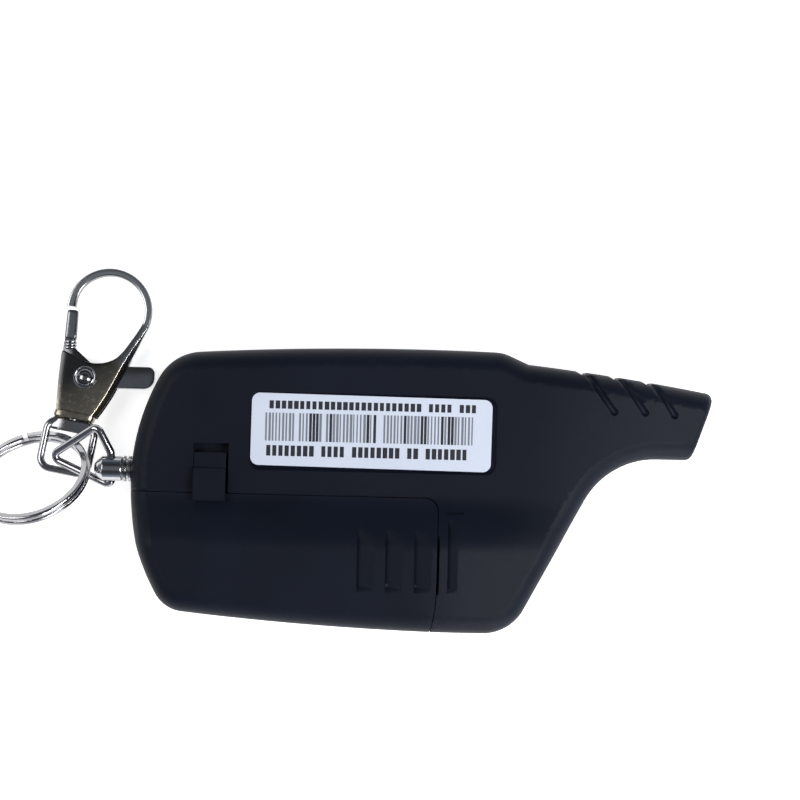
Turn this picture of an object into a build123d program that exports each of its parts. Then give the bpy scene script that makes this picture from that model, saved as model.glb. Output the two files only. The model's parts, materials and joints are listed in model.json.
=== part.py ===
import math
import os

from build123d import *

# The fob lies on its front. X runs from the key-chain end to the aerial nose, Y across it, and Z from
# the flat front, at zero, up to the back with its battery bulge. All sizes are in millimetres.

# Housing
split_z = 7.0
wall = 1.8
front_wall = 1.5
roof = 1.6
fit = 0.12
rim_radius = 3.5
front_rim_radius = 1.8
plateau_z = 14.0
bulge_rise = 4.0
bulge_edge_y = -0.2
bulge_slope_width = 9.0
bulge_fade_start = 17.0
nose_start = 42.0
nose_slope = 0.157
end_drop = 1.0
end_drop_start = -20.0
front_lift_start = 30.0
front_lift = 2.2
lip_height = 1.0
lip_thickness = 0.8

# Plan of the housing: its corners, each with its radius
top_left = (-26.2, 21.5)
top_right = (26.6, 22.8)
shoulder = (30.7, 20.97)
nose_top = (61.0, 16.85)
nose_bow = 0.26
nose_under = (57.2, 6.15)
nose_root = (43.9, 6.15)
bottom_right = (28.6, -22.2)
bottom_left = (-26.6, -19.5)
top_crown_y = 22.85
bottom_crown_y = -21.65
left_end_x = -32.95
corner_radii = {top_left: 8, top_right: 6, shoulder: 1.2, nose_root: 13, bottom_right: 7.4, bottom_left: 5.5}
nose_overrun = 14.0
nose_overrun_radius = 4.2
nose_end_radius = 1.2

# Battery cover and its latch
cover_top_y = -0.85
cover_right_x = 16.65
cover_corner = 2.1
cover_wall = 1.2
cover_roof = 1.1
cover_ceiling_z = 16.4
cover_skirt_z = 8.6
cover_travel = 6.0
latch_width = 5.1
latch_x = -19.95
latch_right_gap = 0.38
latch_tail_y = 5.7
latch_nose_y = -2.0
latch_slot_y = 7.2
latch_travel = 1.45
latch_flange = 1.2
scoop_x = (3.9, 8.4, 13.0)
scoop_width = 3.3
scoop_depth = 0.6
scoop_lift = 0.1
scoop_top_y = -5.2
scoop_bottom_y = -15.9
mark_x = 18.3
mark_width = 1.9
mark_top_y = -3.3
mark_bar_length = 3.0
mark_bar_width = 0.3
mark_bar_depth = 0.3
seam_relief = 0.35
seam_relief_depth = 1.0

# Battery and its tub
cell_radius = 5.25
cell_length = 43.6
nub_radius = 1.9
nub_length = 0.9
cell_x = -25.6
cell_y = -10.7
cell_z = 10.9
tub_wall = 0.9
tub_clearance = 0.35

# Board, display and buttons
board_z = 4.3
board_thickness = 0.8
board_inset = 3.2
window_length = 36.0
window_width = 28.0
window_thickness = 1.0
window_x = 8.0
window_y = 1.0
glass_length = 32.0
glass_width = 24.0
glass_thickness = 1.4
button_x = -21.0
button_length = 9.0
button_width = 7.0
button_y = (-11.0, 0.5, 12.0)
button_proud_z = 0.3
button_field_depth = 1.2
button_travel = 0.28
button_flange = 0.8
pad_z = 2.6
button_field_width = 35.0
window_gap = 0.05
switch_stem_radius = 1.0

# Label
label_length = 38.45
label_width = 11.55
label_x = 5.7
label_y = 9.5
label_turn = -0.5
label_corner = 1.3
label_thickness = 0.15
label_recess = 0.3
recess_length = 39.5
recess_width = 12.5
recess_x = 6.0
recess_y = 9.35

# Grip grooves of the nose, each from its inner to its outer end
grooves = (((44.5, 13.7), (41.6, 17.6)), ((49.5, 13.7), (46.9, 17.3)), ((54.3, 13.4), (52.2, 16.6)))
groove_radius = 0.55
groove_depth = 0.4
groove_end_radius = 0.65
notch_x = (39.2, 44.5, 49.85)
notch_depth = 0.52
notch_fall = 0.95
notch_flat = 0.5
notch_rise = 0.4

# Screws, posts and buttons share these places
board_screws = ((-12.3, 17.2), (30.5, 14.5), (28.8, -10.0))
board_post_radius = 1.7
screw_radius = 0.7
screw_head_radius = 1.1
screw_head_height = 0.8
housing_screws = ((-8.0, -18.55), (9.0, -18.55))
housing_boss_radius = 1.25
deck_z = cover_skirt_z - fit
deck_thickness = 1.2
stud_y = 2.62
stud_z = 8.5
bush_radius = 2.0
lip_top = split_z + lip_height + fit
guide_z = front_wall + glass_thickness
latch_cap_z = plateau_z + 0.68
latch_step_y = 3.15
board_end_x = 40.0
shield_place = (29.0, 4.0)
controller_place = (6.0, 8.0)
sounder_place = (-21.0, 12.5)
sounder_radius = 6.0
motor_gap = 2.0
motor_y = -9.0
motor_z = 8.2
motor_radius = 2.0
motor_length = 8.0
motor_shaft_radius = 0.4
weight_radius = 2.6
weight_thickness = 2.5
aerial_x = 41.5
aerial_y = 12.4
aerial_z = 7.0
aerial_radius = 2.2
aerial_pitch = 2.2
aerial_length = 13.5
aerial_wire = 0.6
spring_pitch = 0.8
spring_length = 2.1
screw_length = 3.2
button_flange_thickness = 0.75
stem_z = pad_z + 0.05 + button_flange_thickness
ledge_z = 12.0
tub_x0 = -29.2
tub_x1 = cell_x + cell_length + nub_length + 0.4 + tub_wall
motor_x = tub_x1 + motor_gap + motor_radius
tub_floor_z = cell_z - cell_radius - 0.45
tub_end_z = 13.5
tongue_reach = 1.3
tongue_width = 4.0
tongue_thickness = 0.9
tongue_y = -16.4
tongue_z = 15.2

# Key chain
hinge_x = -36.3
barrel_radius = 2.02
barrel_end_x = -39.0
collar_x = -34.25
collar_radius = 2.1
shank_radius = 1.1
shank_fit = 0.05
retainer_x = -30.5
retainer_thickness = 0.5
link_wire = 0.66
link_roll = 21.12
link_tilt = 20.96
link_half = 3.1
link_peak = (2.39, 6.94)
link_tip = (11.25, 0.13)
ring_radius = 9.21
ring_wire = 0.6
ring_wire_height = 0.9
ring_center = (-49.36, 0.78, 7.91)
ring_tilt = 46.92
ring_azimuth = -73.5
clasp_base = (-42.9, 12.2, 3.3)
clasp_lean = 9.93
clasp_drop = 5.83
eye_wire = 0.65
eye_half_width = 3.95
eye_start = 2.4
eye_reach = 10.53
drum_half_width = 2.8
drum_half_thickness = 0.85
drum_near = 1.6
drum_far = 3.9
pin_radius = 0.9
pin_fit = 0.05
clasp_thickness = 3.8
slot_thickness = 1.7
gate_thickness = 1.5
rivet_place = (0.64, 5.03)
rivet_radius = 1.1
rivet_head_radius = 1.9
hook_center = (2.2, 16.7)
hook_radius = 6.37
hook_wire = 0.72
hook_half_thickness = 1.0
lever_width = 3.6
lever_reach = 11.35
slot_top = 9.05
slot_bottom = 1.6


def fob_outline(inset=0.0, past_tip=False):
    # Plan of the housing; past_tip runs the nose on beyond its end, which is cut square later.
    tip = (nose_top[0] + nose_overrun, nose_top[1] - 0.15 * nose_overrun)
    under = (nose_under[0] + nose_overrun, nose_under[1])
    nose_mid = ((shoulder[0] + nose_top[0]) / 2, (shoulder[1] + nose_top[1]) / 2)
    with BuildSketch(Plane.XY) as plan:
        with BuildLine():
            ThreePointArc(top_left, (0, top_crown_y), top_right)
            Line(top_right, shoulder)
            ThreePointArc(shoulder, (nose_mid[0], nose_mid[1] + nose_bow), nose_top)
            if past_tip:
                Polyline(nose_top, tip, under, nose_root)
            else:
                Polyline(nose_top, nose_under, nose_root)
            Line(nose_root, bottom_right)
            ThreePointArc(bottom_right, (2, bottom_crown_y), bottom_left)
            ThreePointArc(bottom_left, (left_end_x, 0.7), top_left)
        make_face()
        radii = dict(corner_radii)
        radii.update({tip: nose_overrun_radius, under: nose_overrun_radius} if past_tip
                     else {nose_top: 0.8, nose_under: 2.5})
        for corner, radius in radii.items():
            fillet(plan.vertices().sort_by_distance(corner)[0], radius)
        if inset:
            offset(amount=-inset, mode=Mode.REPLACE)
    return plan.sketch


def ease(t):
    t = max(0.0, min(1.0, t))
    return t * t * (3 - 2 * t)


def ramp(t, soft):
    # A straight ramp from zero whose start is rounded over the width soft on each side.
    return 0.0 if t < -soft else t if t > soft else (t + soft) ** 2 / (4 * soft)


def back_height(x, y):
    # Height of the crowned back: the label plateau, the battery bulge below it and the falling nose.
    fade = 1 - (ramp(x - bulge_fade_start, 4) - ramp(x - nose_start, 4)) / (nose_start - bulge_fade_start)
    bulge = bulge_rise * ease((bulge_edge_y - y) / bulge_slope_width) * fade
    return plateau_z + bulge - nose_slope * ramp(x - nose_start, 10) - end_drop * ease((end_drop_start - x) / 14)


def back_surface(drop=0.0):
    xs = [-42 + 4 * i for i in range(31)]
    ys = [-28 + 2.5 * j for j in range(23)]
    grid = [[Vector(x, y, back_height(x, y) - drop) for y in ys] for x in xs]
    return Face.make_surface_from_array_of_points(grid, tol=0.02)


# Plane of the front where it is drawn up toward the nose
lift_angle = math.atan2(front_lift, nose_top[0] - front_lift_start)
lift_plane = Plane(origin=(front_lift_start, 0, 0), x_dir=(math.cos(lift_angle), 0, math.sin(lift_angle)),
                   z_dir=(-math.sin(lift_angle), 0, math.cos(lift_angle)))


def nose_end(inset=0.0):
    # Upright plane across the end of the nose, facing out.
    run = Vector(nose_top[0] - nose_under[0], nose_top[1] - nose_under[1], 0)
    return Plane(origin=(*nose_under, 0), x_dir=run, z_dir=(run.Y, -run.X, 0)).offset(-inset)


def crowned_block(inset, drop, floor_z):
    with BuildPart() as block:
        with BuildSketch(Plane.XY.offset(floor_z)):
            add(fob_outline(inset, past_tip=True))
        extrude(amount=plateau_z + bulge_rise + 2 - floor_z)
        split(bisect_by=back_surface(drop), keep=Keep.BOTTOM)
        if inset:
            split(bisect_by=nose_end(inset), keep=Keep.BOTTOM)
            split(bisect_by=lift_plane.offset(front_wall), keep=Keep.TOP)
    return block.part


def cover_region(gap, z0):
    # Everything over the battery cover's plan, drawn in by gap; its right seam runs down to the edge.
    right = cover_right_x - gap
    with BuildPart() as region:
        with BuildSketch(Plane.XY.offset(z0)) as plan:
            with BuildLine():
                Polyline((-60, cover_top_y - gap), (right, cover_top_y - gap), (right - 0.1, -16.1))
                ThreePointArc((right - 0.1, -16.1), (right - 0.4, -19.2), (right - 1.0, -22))
                Polyline((right - 1.0, -22), (right - 1.0, -40), (-60, -40), (-60, cover_top_y - gap))
            make_face()
            fillet(plan.vertices().sort_by_distance((right, cover_top_y))[0], cover_corner)
        extrude(amount=40)
    return region.part


# Whole outer form: rounded rims, the nose cut to its end, and the front drawn up toward the nose
with BuildPart() as form:
    add(crowned_block(0, 0, 0))
    crown = form.faces().filter_by(GeomType.BSPLINE).sort_by(Axis.Z)[-1]
    fillet(crown.outer_wire().edges(), rim_radius)
    fillet(form.faces().sort_by(Axis.Z)[0].outer_wire().edges(), front_rim_radius)
    split(bisect_by=nose_end(), keep=Keep.BOTTOM)
    fillet(form.faces().filter_by(GeomType.PLANE).sort_by(Axis.X)[-1].outer_wire().edges(), nose_end_radius)
    split(bisect_by=lift_plane, keep=Keep.TOP)
cavity = crowned_block(wall, roof, front_wall)
cover_cavity = crowned_block(cover_wall, cover_roof, front_wall)

parts_list = []
with BuildSketch(Plane.XY) as cover_plan_sketch:
    with Locations(((cover_right_x + fit - 60) / 2, (cover_top_y + fit - 40) / 2)):
        Rectangle(cover_right_x + fit + 60, 40 + cover_top_y + fit)
cover_plan = cover_plan_sketch.sketch

with BuildPart() as space:
    add(cover_cavity)
    split(bisect_by=Plane.XY.offset(cover_ceiling_z), keep=Keep.BOTTOM)
cover_space = space.part


def scoop_cut(x, width, top_y):
    # One finger scoop: deepest along its left edge, rising to the back surface at its right and at both ends.
    xs = [x - 1 + (width + 2) * i / 8 for i in range(9)]
    ys = [scoop_bottom_y - 1 + (top_y - scoop_bottom_y + 2) * j / 14 for j in range(15)]
    grid = []
    for u in xs:
        slope = 1 - (u - x) / width
        ends = [ease((top_y - v) / 2.5) * ease((v - scoop_bottom_y) / 1.2) for v in ys]
        grid.append([Vector(u, v, back_height(u, v) + scoop_lift - (scoop_depth + scoop_lift) * slope * end)
                     for v, end in zip(ys, ends)])
    with BuildPart() as cut:
        with BuildSketch(Plane.XY.offset(ledge_z)):
            with Locations((x + width / 2, (top_y + scoop_bottom_y) / 2)):
                Rectangle(width, top_y - scoop_bottom_y)
        extrude(amount=10)
        split(bisect_by=Face.make_surface_from_array_of_points(grid, tol=0.02), keep=Keep.TOP)
    return cut.part


cover_scoops = [scoop_cut(x, scoop_width, scoop_top_y) for x in scoop_x]
body_scoop = scoop_cut(mark_x, mark_width, mark_top_y)


def side_edge_y(x):
    # Y of the nose's upper side at x: the straight line from shoulder to tip and the bow over it.
    t = (x - shoulder[0]) / (nose_top[0] - shoulder[0])
    return shoulder[1] + t * (nose_top[1] - shoulder[1]) + 4 * nose_bow * t * (1 - t)


# Grip of the nose: three slanted grooves that run over the rim, and saw-tooth notches where they end
with BuildPart() as notch_set:
    for x in notch_x:
        with BuildSketch(Plane.XY.offset(-1)):
            with BuildLine():
                Polyline((x - notch_fall, side_edge_y(x - notch_fall)), (x, side_edge_y(x) - notch_depth),
                         (x + notch_flat, side_edge_y(x) - notch_depth),
                         (x + notch_flat + notch_rise, side_edge_y(x + notch_flat + notch_rise)),
                         (x + notch_flat + notch_rise, 24), (x - notch_fall, 24),
                         (x - notch_fall, side_edge_y(x - notch_fall)))
            make_face()
        extrude(amount=25)
nose_notches = notch_set.part
with BuildPart() as groove_set:
    for inner, outer in grooves:
        start = Vector(*inner, back_height(*inner) + groove_radius - groove_depth)
        middle = Vector(*outer, back_height(*outer) + groove_radius - groove_depth - 0.35)
        end = middle + Vector(-1.3, 1.9, -1.5)
        with Locations(middle):
            Sphere(groove_radius)
        with Locations(start):
            Sphere(groove_end_radius)
        for a, b in ((start, middle), (middle, end)):
            with BuildSketch(Plane(origin=a, z_dir=b - a)):
                Circle(groove_radius)
            extrude(amount=(b - a).length)
grip_grooves = groove_set.part

with BuildPart() as front_shell:
    add(form.part)
    split(bisect_by=Plane.XY.offset(split_z), keep=Keep.BOTTOM)
    add(cavity, mode=Mode.SUBTRACT)
    # Lip that locates the rear shell
    with BuildSketch(Plane.XY.offset(split_z - lip_height)):
        add(fob_outline(wall - lip_thickness))
        add(fob_outline(wall + 0.05), mode=Mode.SUBTRACT)
    extrude(amount=2 * lip_height)
    # Thick pad behind the sunk button field
    with BuildSketch(Plane.XY.offset(front_wall - 0.1)):
        add(fob_outline(wall - 0.3))
        with Locations((button_x, 0.5)):
            Rectangle(button_length + 6.4, 60, mode=Mode.INTERSECT)
    extrude(amount=pad_z - front_wall + 0.1)
    with BuildSketch(Plane.XY):
        with Locations((button_x, 0.5)):
            RectangleRounded(button_length + 4.4, button_field_width, 3.5)
    extrude(amount=button_field_depth, mode=Mode.SUBTRACT)
    with BuildSketch(Plane.XY):
        with Locations([(button_x, y) for y in button_y]):
            RectangleRounded(button_length + 2 * fit, button_width + 2 * fit, 2)
    extrude(amount=pad_z + 1, mode=Mode.SUBTRACT)
    # Window seat and the opening behind it
    with BuildSketch(Plane.XY):
        with Locations((window_x, window_y)):
            RectangleRounded(window_length + 2 * window_gap, window_width + 2 * window_gap, 2)
    extrude(amount=window_thickness, mode=Mode.SUBTRACT)
    with BuildSketch(Plane.XY):
        with Locations((window_x, window_y)):
            RectangleRounded(window_length - 4, window_width - 4, 1)
    extrude(amount=front_wall + 1, mode=Mode.SUBTRACT)
    # Posts under the board and bosses for the housing screws
    with BuildSketch(Plane.XY.offset(front_wall - 0.1)):
        with Locations(board_screws):
            Circle(board_post_radius)
    extrude(amount=board_z - front_wall + 0.1)
    with BuildSketch(Plane.XY.offset(front_wall - 0.1)):
        with Locations(housing_screws):
            Circle(housing_boss_radius)
    extrude(amount=deck_z - deck_thickness - fit - front_wall + 0.1)
    with BuildSketch(Plane.XY.offset(front_wall + 0.3)):
        with Locations(board_screws + housing_screws):
            Circle(screw_radius)
    extrude(amount=20, mode=Mode.SUBTRACT)
    # Half of the hole for the stud bush
    with BuildSketch(Plane.YZ.offset(left_end_x - 5)):
        with Locations((stud_y, stud_z)):
            Circle(bush_radius)
    extrude(amount=10, mode=Mode.SUBTRACT)
    with BuildSketch(Plane.YZ.offset(left_end_x + wall + 0.03)):
        with Locations((stud_y, stud_z)):
            Circle(bush_radius + 0.8)
    extrude(amount=3, mode=Mode.SUBTRACT)
    # Saw-tooth notches of the nose grip run down the whole side
    add(nose_notches, mode=Mode.SUBTRACT)

with BuildPart() as rear_shell:
    add(form.part)
    split(bisect_by=Plane.XY.offset(split_z), keep=Keep.TOP)
    add(cavity, mode=Mode.SUBTRACT)
    # Rebate over the front shell's lip
    with BuildSketch(Plane.XY.offset(split_z)):
        add(fob_outline(wall - lip_thickness - fit))
        add(fob_outline(wall + 0.5), mode=Mode.SUBTRACT)
    extrude(amount=lip_height + fit, mode=Mode.SUBTRACT)
    # Opening under the sliding cover, with a deck round the battery tub
    add(cover_region(-fit, deck_z), mode=Mode.SUBTRACT)
    with BuildSketch(Plane.XY.offset(lip_top)):
        add(fob_outline(wall - lip_thickness - fit - 0.1))
        add(cover_plan, mode=Mode.INTERSECT)
    extrude(amount=deck_z - lip_top)
    with BuildSketch(Plane.XY.offset(deck_z - deck_thickness)):
        add(fob_outline(wall + 0.2))
        add(cover_plan, mode=Mode.INTERSECT)
    extrude(amount=deck_thickness)
    # Wall that carries the roof's edge along the top seam
    with BuildSketch(Plane.XY.offset(lip_top)):
        add(fob_outline(wall - 0.1))
        with Locations(((tub_x1 - 60) / 2, cover_top_y + 0.35 - 0.9)):
            Rectangle(tub_x1 + 60, 1.8, mode=Mode.INTERSECT)
    extrude(amount=ledge_z - lip_top)
    # Battery tub
    with BuildSketch(Plane.XY.offset(tub_floor_z)):
        with Locations(((tub_x0 + tub_x1) / 2, cell_y)):
            Rectangle(tub_x1 - tub_x0, 2 * (cell_radius + tub_clearance + tub_wall))
        add(fob_outline(wall + 0.3), mode=Mode.INTERSECT)
    extrude(amount=cell_z - 0.4 - tub_floor_z)
    with BuildSketch(Plane.XY.offset(tub_floor_z)):
        with Locations(((tub_x0 + tub_x1) / 2, cell_y)):
            Rectangle(tub_x1 - tub_x0, 2 * (cell_radius + tub_clearance + tub_wall))
        with Locations(((tub_x0 + tub_x1) / 2, cell_y)):
            Rectangle(tub_x1 - tub_x0 - 2 * tub_wall - 0.01, 30, mode=Mode.SUBTRACT)
        add(fob_outline(wall + 0.3), mode=Mode.INTERSECT)
    extrude(amount=tub_end_z - tub_floor_z)
    with BuildSketch(Plane.YZ.offset(tub_x0 + tub_wall)):
        with Locations((cell_y, cell_z)):
            Circle(cell_radius + tub_clearance)
    extrude(amount=tub_x1 - tub_x0 - 2 * tub_wall, mode=Mode.SUBTRACT)
    with BuildSketch(Plane.YZ.offset(tub_x0 + tub_wall)):
        with Locations((cell_y, (cell_z + cover_ceiling_z - 0.3) / 2)):
            Rectangle(2 * (cell_radius + tub_clearance), cover_ceiling_z - 0.3 - cell_z)
    extrude(amount=cover_right_x + fit - tub_x0 - tub_wall, mode=Mode.SUBTRACT)
    # Label recess
    with BuildSketch(Plane.XY.offset(plateau_z - label_recess)):
        with Locations((recess_x, recess_y)):
            RectangleRounded(recess_length, recess_width, label_corner + 0.4)
    extrude(amount=5, mode=Mode.SUBTRACT)
    # Latch slot, open to the cover's seam
    with BuildSketch(Plane.XY.offset(ledge_z)):
        with Locations((latch_x + (latch_right_gap - fit) / 2, (latch_slot_y + cover_top_y - 1) / 2)):
            Rectangle(latch_width + fit + latch_right_gap, latch_slot_y - cover_top_y + 1)
    extrude(amount=10, mode=Mode.SUBTRACT)
    # Bush hole, notches and the grip grooves
    with BuildSketch(Plane.YZ.offset(left_end_x - 5)):
        with Locations((stud_y, stud_z)):
            Circle(bush_radius)
    extrude(amount=10, mode=Mode.SUBTRACT)
    with BuildSketch(Plane.YZ.offset(left_end_x + wall + 0.03)):
        with Locations((stud_y, stud_z)):
            Circle(bush_radius + 0.8)
    extrude(amount=3, mode=Mode.SUBTRACT)
    add(nose_notches, mode=Mode.SUBTRACT)
    add(grip_grooves, mode=Mode.SUBTRACT)
    # Scoop beside the cover's right seam, the short bar over it, and the wider gap along the seam
    add(body_scoop, mode=Mode.SUBTRACT)
    with BuildSketch(Plane.XY.offset(back_height(mark_x + mark_bar_length, mark_top_y) - mark_bar_depth)):
        with Locations((mark_x + mark_bar_length / 2 - 0.5, mark_top_y + 0.2)):
            Rectangle(mark_bar_length, mark_bar_width)
    extrude(amount=3, mode=Mode.SUBTRACT)
    with BuildSketch(Plane.XY.offset(plateau_z + bulge_rise - seam_relief_depth)):
        with Locations((cover_right_x + seam_relief / 2, (scoop_bottom_y + mark_top_y) / 2)):
            Rectangle(seam_relief, mark_top_y - scoop_bottom_y)
    extrude(amount=3, mode=Mode.SUBTRACT)
    with BuildSketch(Plane.XY.offset(tub_floor_z)):
        with Locations(housing_screws):
            Circle(screw_radius + 0.15)
    extrude(amount=6, mode=Mode.SUBTRACT)

with BuildPart() as battery_cover:
    add(form.part)
    add(cover_region(0, cover_skirt_z), mode=Mode.INTERSECT)
    add(cover_space, mode=Mode.SUBTRACT)
    add(cover_scoops, mode=Mode.SUBTRACT)
    # Tongue that tucks under the fixed roof
    with BuildSketch(Plane.XY.offset(tongue_z)):
        with Locations((cover_right_x - 2 + tongue_reach / 2, tongue_y)):
            Rectangle(4 + tongue_reach, tongue_width)
    extrude(amount=tongue_thickness)
    with BuildSketch(Plane.XY.offset(tongue_z)):
        with Locations((cover_right_x - 2.3, tongue_y)):
            Rectangle(3.2, tongue_width)
    extrude(amount=cover_ceiling_z + 0.3 - tongue_z)

# Slide of the cover's latch: a finger cap over a tail, a neck in the slot and a flange under the roof
with BuildPart() as cover_latch:
    with BuildSketch(Plane.YZ.offset(latch_x)):
        with BuildLine():
            Polyline((latch_nose_y, latch_cap_z), (latch_nose_y, latch_cap_z + 0.6),
                     (latch_nose_y + 0.4, latch_cap_z + 0.7), (latch_step_y, latch_cap_z + 0.2),
                     (latch_step_y, plateau_z), (latch_tail_y, plateau_z - 0.1),
                     (latch_tail_y, ledge_z + 0.1), (cover_top_y + 0.1, ledge_z + 0.1),
                     (cover_top_y + 0.1, latch_cap_z), (latch_nose_y, latch_cap_z))
        make_face()
    extrude(amount=latch_width / 2, both=True)
    with BuildSketch(Plane.XY.offset(ledge_z - 0.95)):
        with Locations((latch_x, (latch_slot_y + latch_flange + 0.3) / 2)):
            Rectangle(latch_width + 2 * latch_flange, latch_slot_y + latch_flange - 0.3)
    extrude(amount=0.9)
    with BuildSketch(Plane.XY.offset(ledge_z - 0.5)):
        with Locations((latch_x, latch_tail_y / 2)):
            Rectangle(latch_width - 0.4, latch_tail_y - 1.2)
    extrude(amount=1)

# Rating label
with BuildPart() as rating_label:
    with BuildSketch(Plane.XY.offset(plateau_z - label_recess)):
        with Locations((label_x, label_y)):
            RectangleRounded(label_length, label_width, label_corner, rotation=label_turn)
    extrude(amount=label_thickness)

# Display stack: clear window, frame, glass, backlight guide and the elastomer strip to the board
with BuildPart() as display_window:
    with BuildSketch(Plane.XY):
        with Locations((window_x, window_y)):
            RectangleRounded(window_length, window_width, 2)
    extrude(amount=window_thickness)

with BuildPart() as display_frame:
    with BuildSketch(Plane.XY.offset(front_wall)):
        with Locations((window_x, window_y)):
            Rectangle(window_length - 1, window_width + 0.4)
            Rectangle(glass_length + 0.2, glass_width + 0.2, mode=Mode.SUBTRACT)
    extrude(amount=board_z - front_wall)
    with BuildSketch(Plane.XY.offset(guide_z)):
        with Locations((window_x, window_y + glass_width / 2 + 0.8)):
            Rectangle(glass_length - 2, 1.1)
    extrude(amount=board_z - guide_z, mode=Mode.SUBTRACT)

with BuildPart() as display_glass:
    with BuildSketch(Plane.XY.offset(front_wall)):
        with Locations((window_x, window_y)):
            Rectangle(glass_length, glass_width)
    extrude(amount=glass_thickness)
    with BuildSketch(Plane.XY.offset(front_wall + glass_thickness / 2)):
        with Locations((window_x, window_y + glass_width / 2 - 1)):
            Rectangle(glass_length + 1, 3)
    extrude(amount=glass_thickness / 2, mode=Mode.SUBTRACT)

with BuildPart() as backlight_guide:
    with BuildSketch(Plane.XY.offset(guide_z)):
        with Locations((window_x, window_y)):
            Rectangle(glass_length, glass_width)
    extrude(amount=board_z - guide_z)

with BuildPart() as display_connector:
    with BuildSketch(Plane.XY.offset(guide_z)):
        with Locations((window_x, window_y + glass_width / 2 + 0.8)):
            Rectangle(glass_length - 2.2, 0.9)
    extrude(amount=board_z - guide_z)

# Circuit board, cleared round the housing bosses
with BuildPart() as circuit_board:
    with BuildSketch(Plane.XY.offset(board_z)):
        add(fob_outline(board_inset))
        with Locations((board_end_x - 100, 0)):
            Rectangle(200, 100, mode=Mode.INTERSECT)
        with Locations(housing_screws):
            Circle(housing_boss_radius + 0.4, mode=Mode.SUBTRACT)
        with Locations(board_screws):
            Circle(screw_radius + 0.1, mode=Mode.SUBTRACT)
    extrude(amount=board_thickness)

board_top = board_z + board_thickness
with BuildPart() as shield_can:
    with BuildSketch(Plane.XY.offset(board_top)):
        with Locations(shield_place):
            RectangleRounded(12, 10, 0.6)
    extrude(amount=2.4)
    with BuildSketch(Plane.XY.offset(board_top)):
        with Locations(shield_place):
            RectangleRounded(11.5, 9.5, 0.4)
    extrude(amount=2.1, mode=Mode.SUBTRACT)
    with BuildSketch(Plane.XY.offset(board_top + 2)):
        with Locations(shield_place):
            with GridLocations(3, 3, 3, 2):
                Circle(0.4)
    extrude(amount=1, mode=Mode.SUBTRACT)

with BuildPart() as radio_chip:
    with BuildSketch(Plane.XY.offset(board_top)):
        with Locations(shield_place):
            Rectangle(5, 5)
    extrude(amount=0.9)

with BuildPart() as controller_chip:
    with BuildSketch(Plane.XY.offset(board_top)):
        with Locations(controller_place):
            Rectangle(9, 9)
    extrude(amount=1.2)

with BuildPart() as crystal_can:
    with BuildSketch(Plane.XY.offset(board_top)):
        with Locations((controller_place[0] + 9, controller_place[1])):
            SlotOverall(7, 3, rotation=90)
    extrude(amount=2.2)

with BuildPart() as sounder:
    with BuildSketch(Plane.XY.offset(board_top)):
        with Locations(sounder_place):
            Circle(sounder_radius)
    extrude(amount=3.2)
    with BuildSketch(Plane.XY.offset(board_top + 2.4)):
        with Locations(sounder_place):
            Circle(1)
    extrude(amount=1, mode=Mode.SUBTRACT)

# Vibration motor in its rubber mount, with the off-centre weight on its shaft
with BuildPart() as motor_mount:
    with BuildSketch(Plane.XZ.offset(-motor_y)):
        with Locations((motor_x, (board_top + motor_z) / 2)):
            Rectangle(2 * motor_radius + 1.2, motor_z - board_top)
        with Locations((motor_x, motor_z)):
            Circle(motor_radius, mode=Mode.SUBTRACT)
    extrude(amount=motor_length - 2)
with BuildPart() as vibration_motor:
    with BuildSketch(Plane.XZ.offset(-motor_y)):
        with Locations((motor_x, motor_z)):
            Circle(motor_radius)
    extrude(amount=motor_length)
    with BuildSketch(Plane.XZ.offset(-motor_y)):
        with Locations((motor_x, motor_z)):
            Circle(motor_shaft_radius)
    extrude(amount=-0.6)
with BuildPart() as vibration_weight:
    with BuildSketch(Plane.XZ.offset(-motor_y - 0.3)) as weight_face:
        with Locations((motor_x, motor_z)):
            Circle(weight_radius)
        with Locations((motor_x, motor_z - weight_radius)):
            Rectangle(2 * weight_radius, 2 * weight_radius - 2, mode=Mode.SUBTRACT)
        with Locations((motor_x, motor_z)):
            Circle(1.2)
            Circle(motor_shaft_radius + 0.04, mode=Mode.SUBTRACT)
    extrude(amount=-weight_thickness)

# Aerial coil in the nose, soldered to the board's end
with BuildPart() as antenna_coil:
    with BuildLine() as turns:
        Helix(aerial_pitch, aerial_length, aerial_radius, center=(aerial_x, aerial_y, aerial_z),
              direction=(1, 0, 0))
    with BuildSketch(turns.line ^ 0):
        Circle(aerial_wire / 2)
    sweep()

# Cell with its contacts
with BuildPart() as battery_cell:
    with BuildSketch(Plane.YZ.offset(cell_x)):
        with Locations((cell_y, cell_z)):
            Circle(cell_radius)
    extrude(amount=cell_length)
    with BuildSketch(Plane.YZ.offset(cell_x + cell_length)):
        with Locations((cell_y, cell_z)):
            Circle(nub_radius)
    extrude(amount=nub_length)
with BuildPart() as battery_contact_plate:
    with BuildSketch(Plane.YZ.offset(cell_x + cell_length + nub_length + 0.05)):
        with Locations((cell_y, cell_z - 1.4)):
            RectangleRounded(6, 7, 0.8)
    extrude(amount=0.3)
with BuildPart() as battery_contact_spring:
    with BuildLine() as coil:
        Helix(spring_pitch, spring_length, 1.9, center=(cell_x - 0.25 - spring_length, cell_y, cell_z),
              direction=(1, 0, 0))
    with BuildSketch(coil.line ^ 0):
        Circle(0.22)
    sweep()

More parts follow.
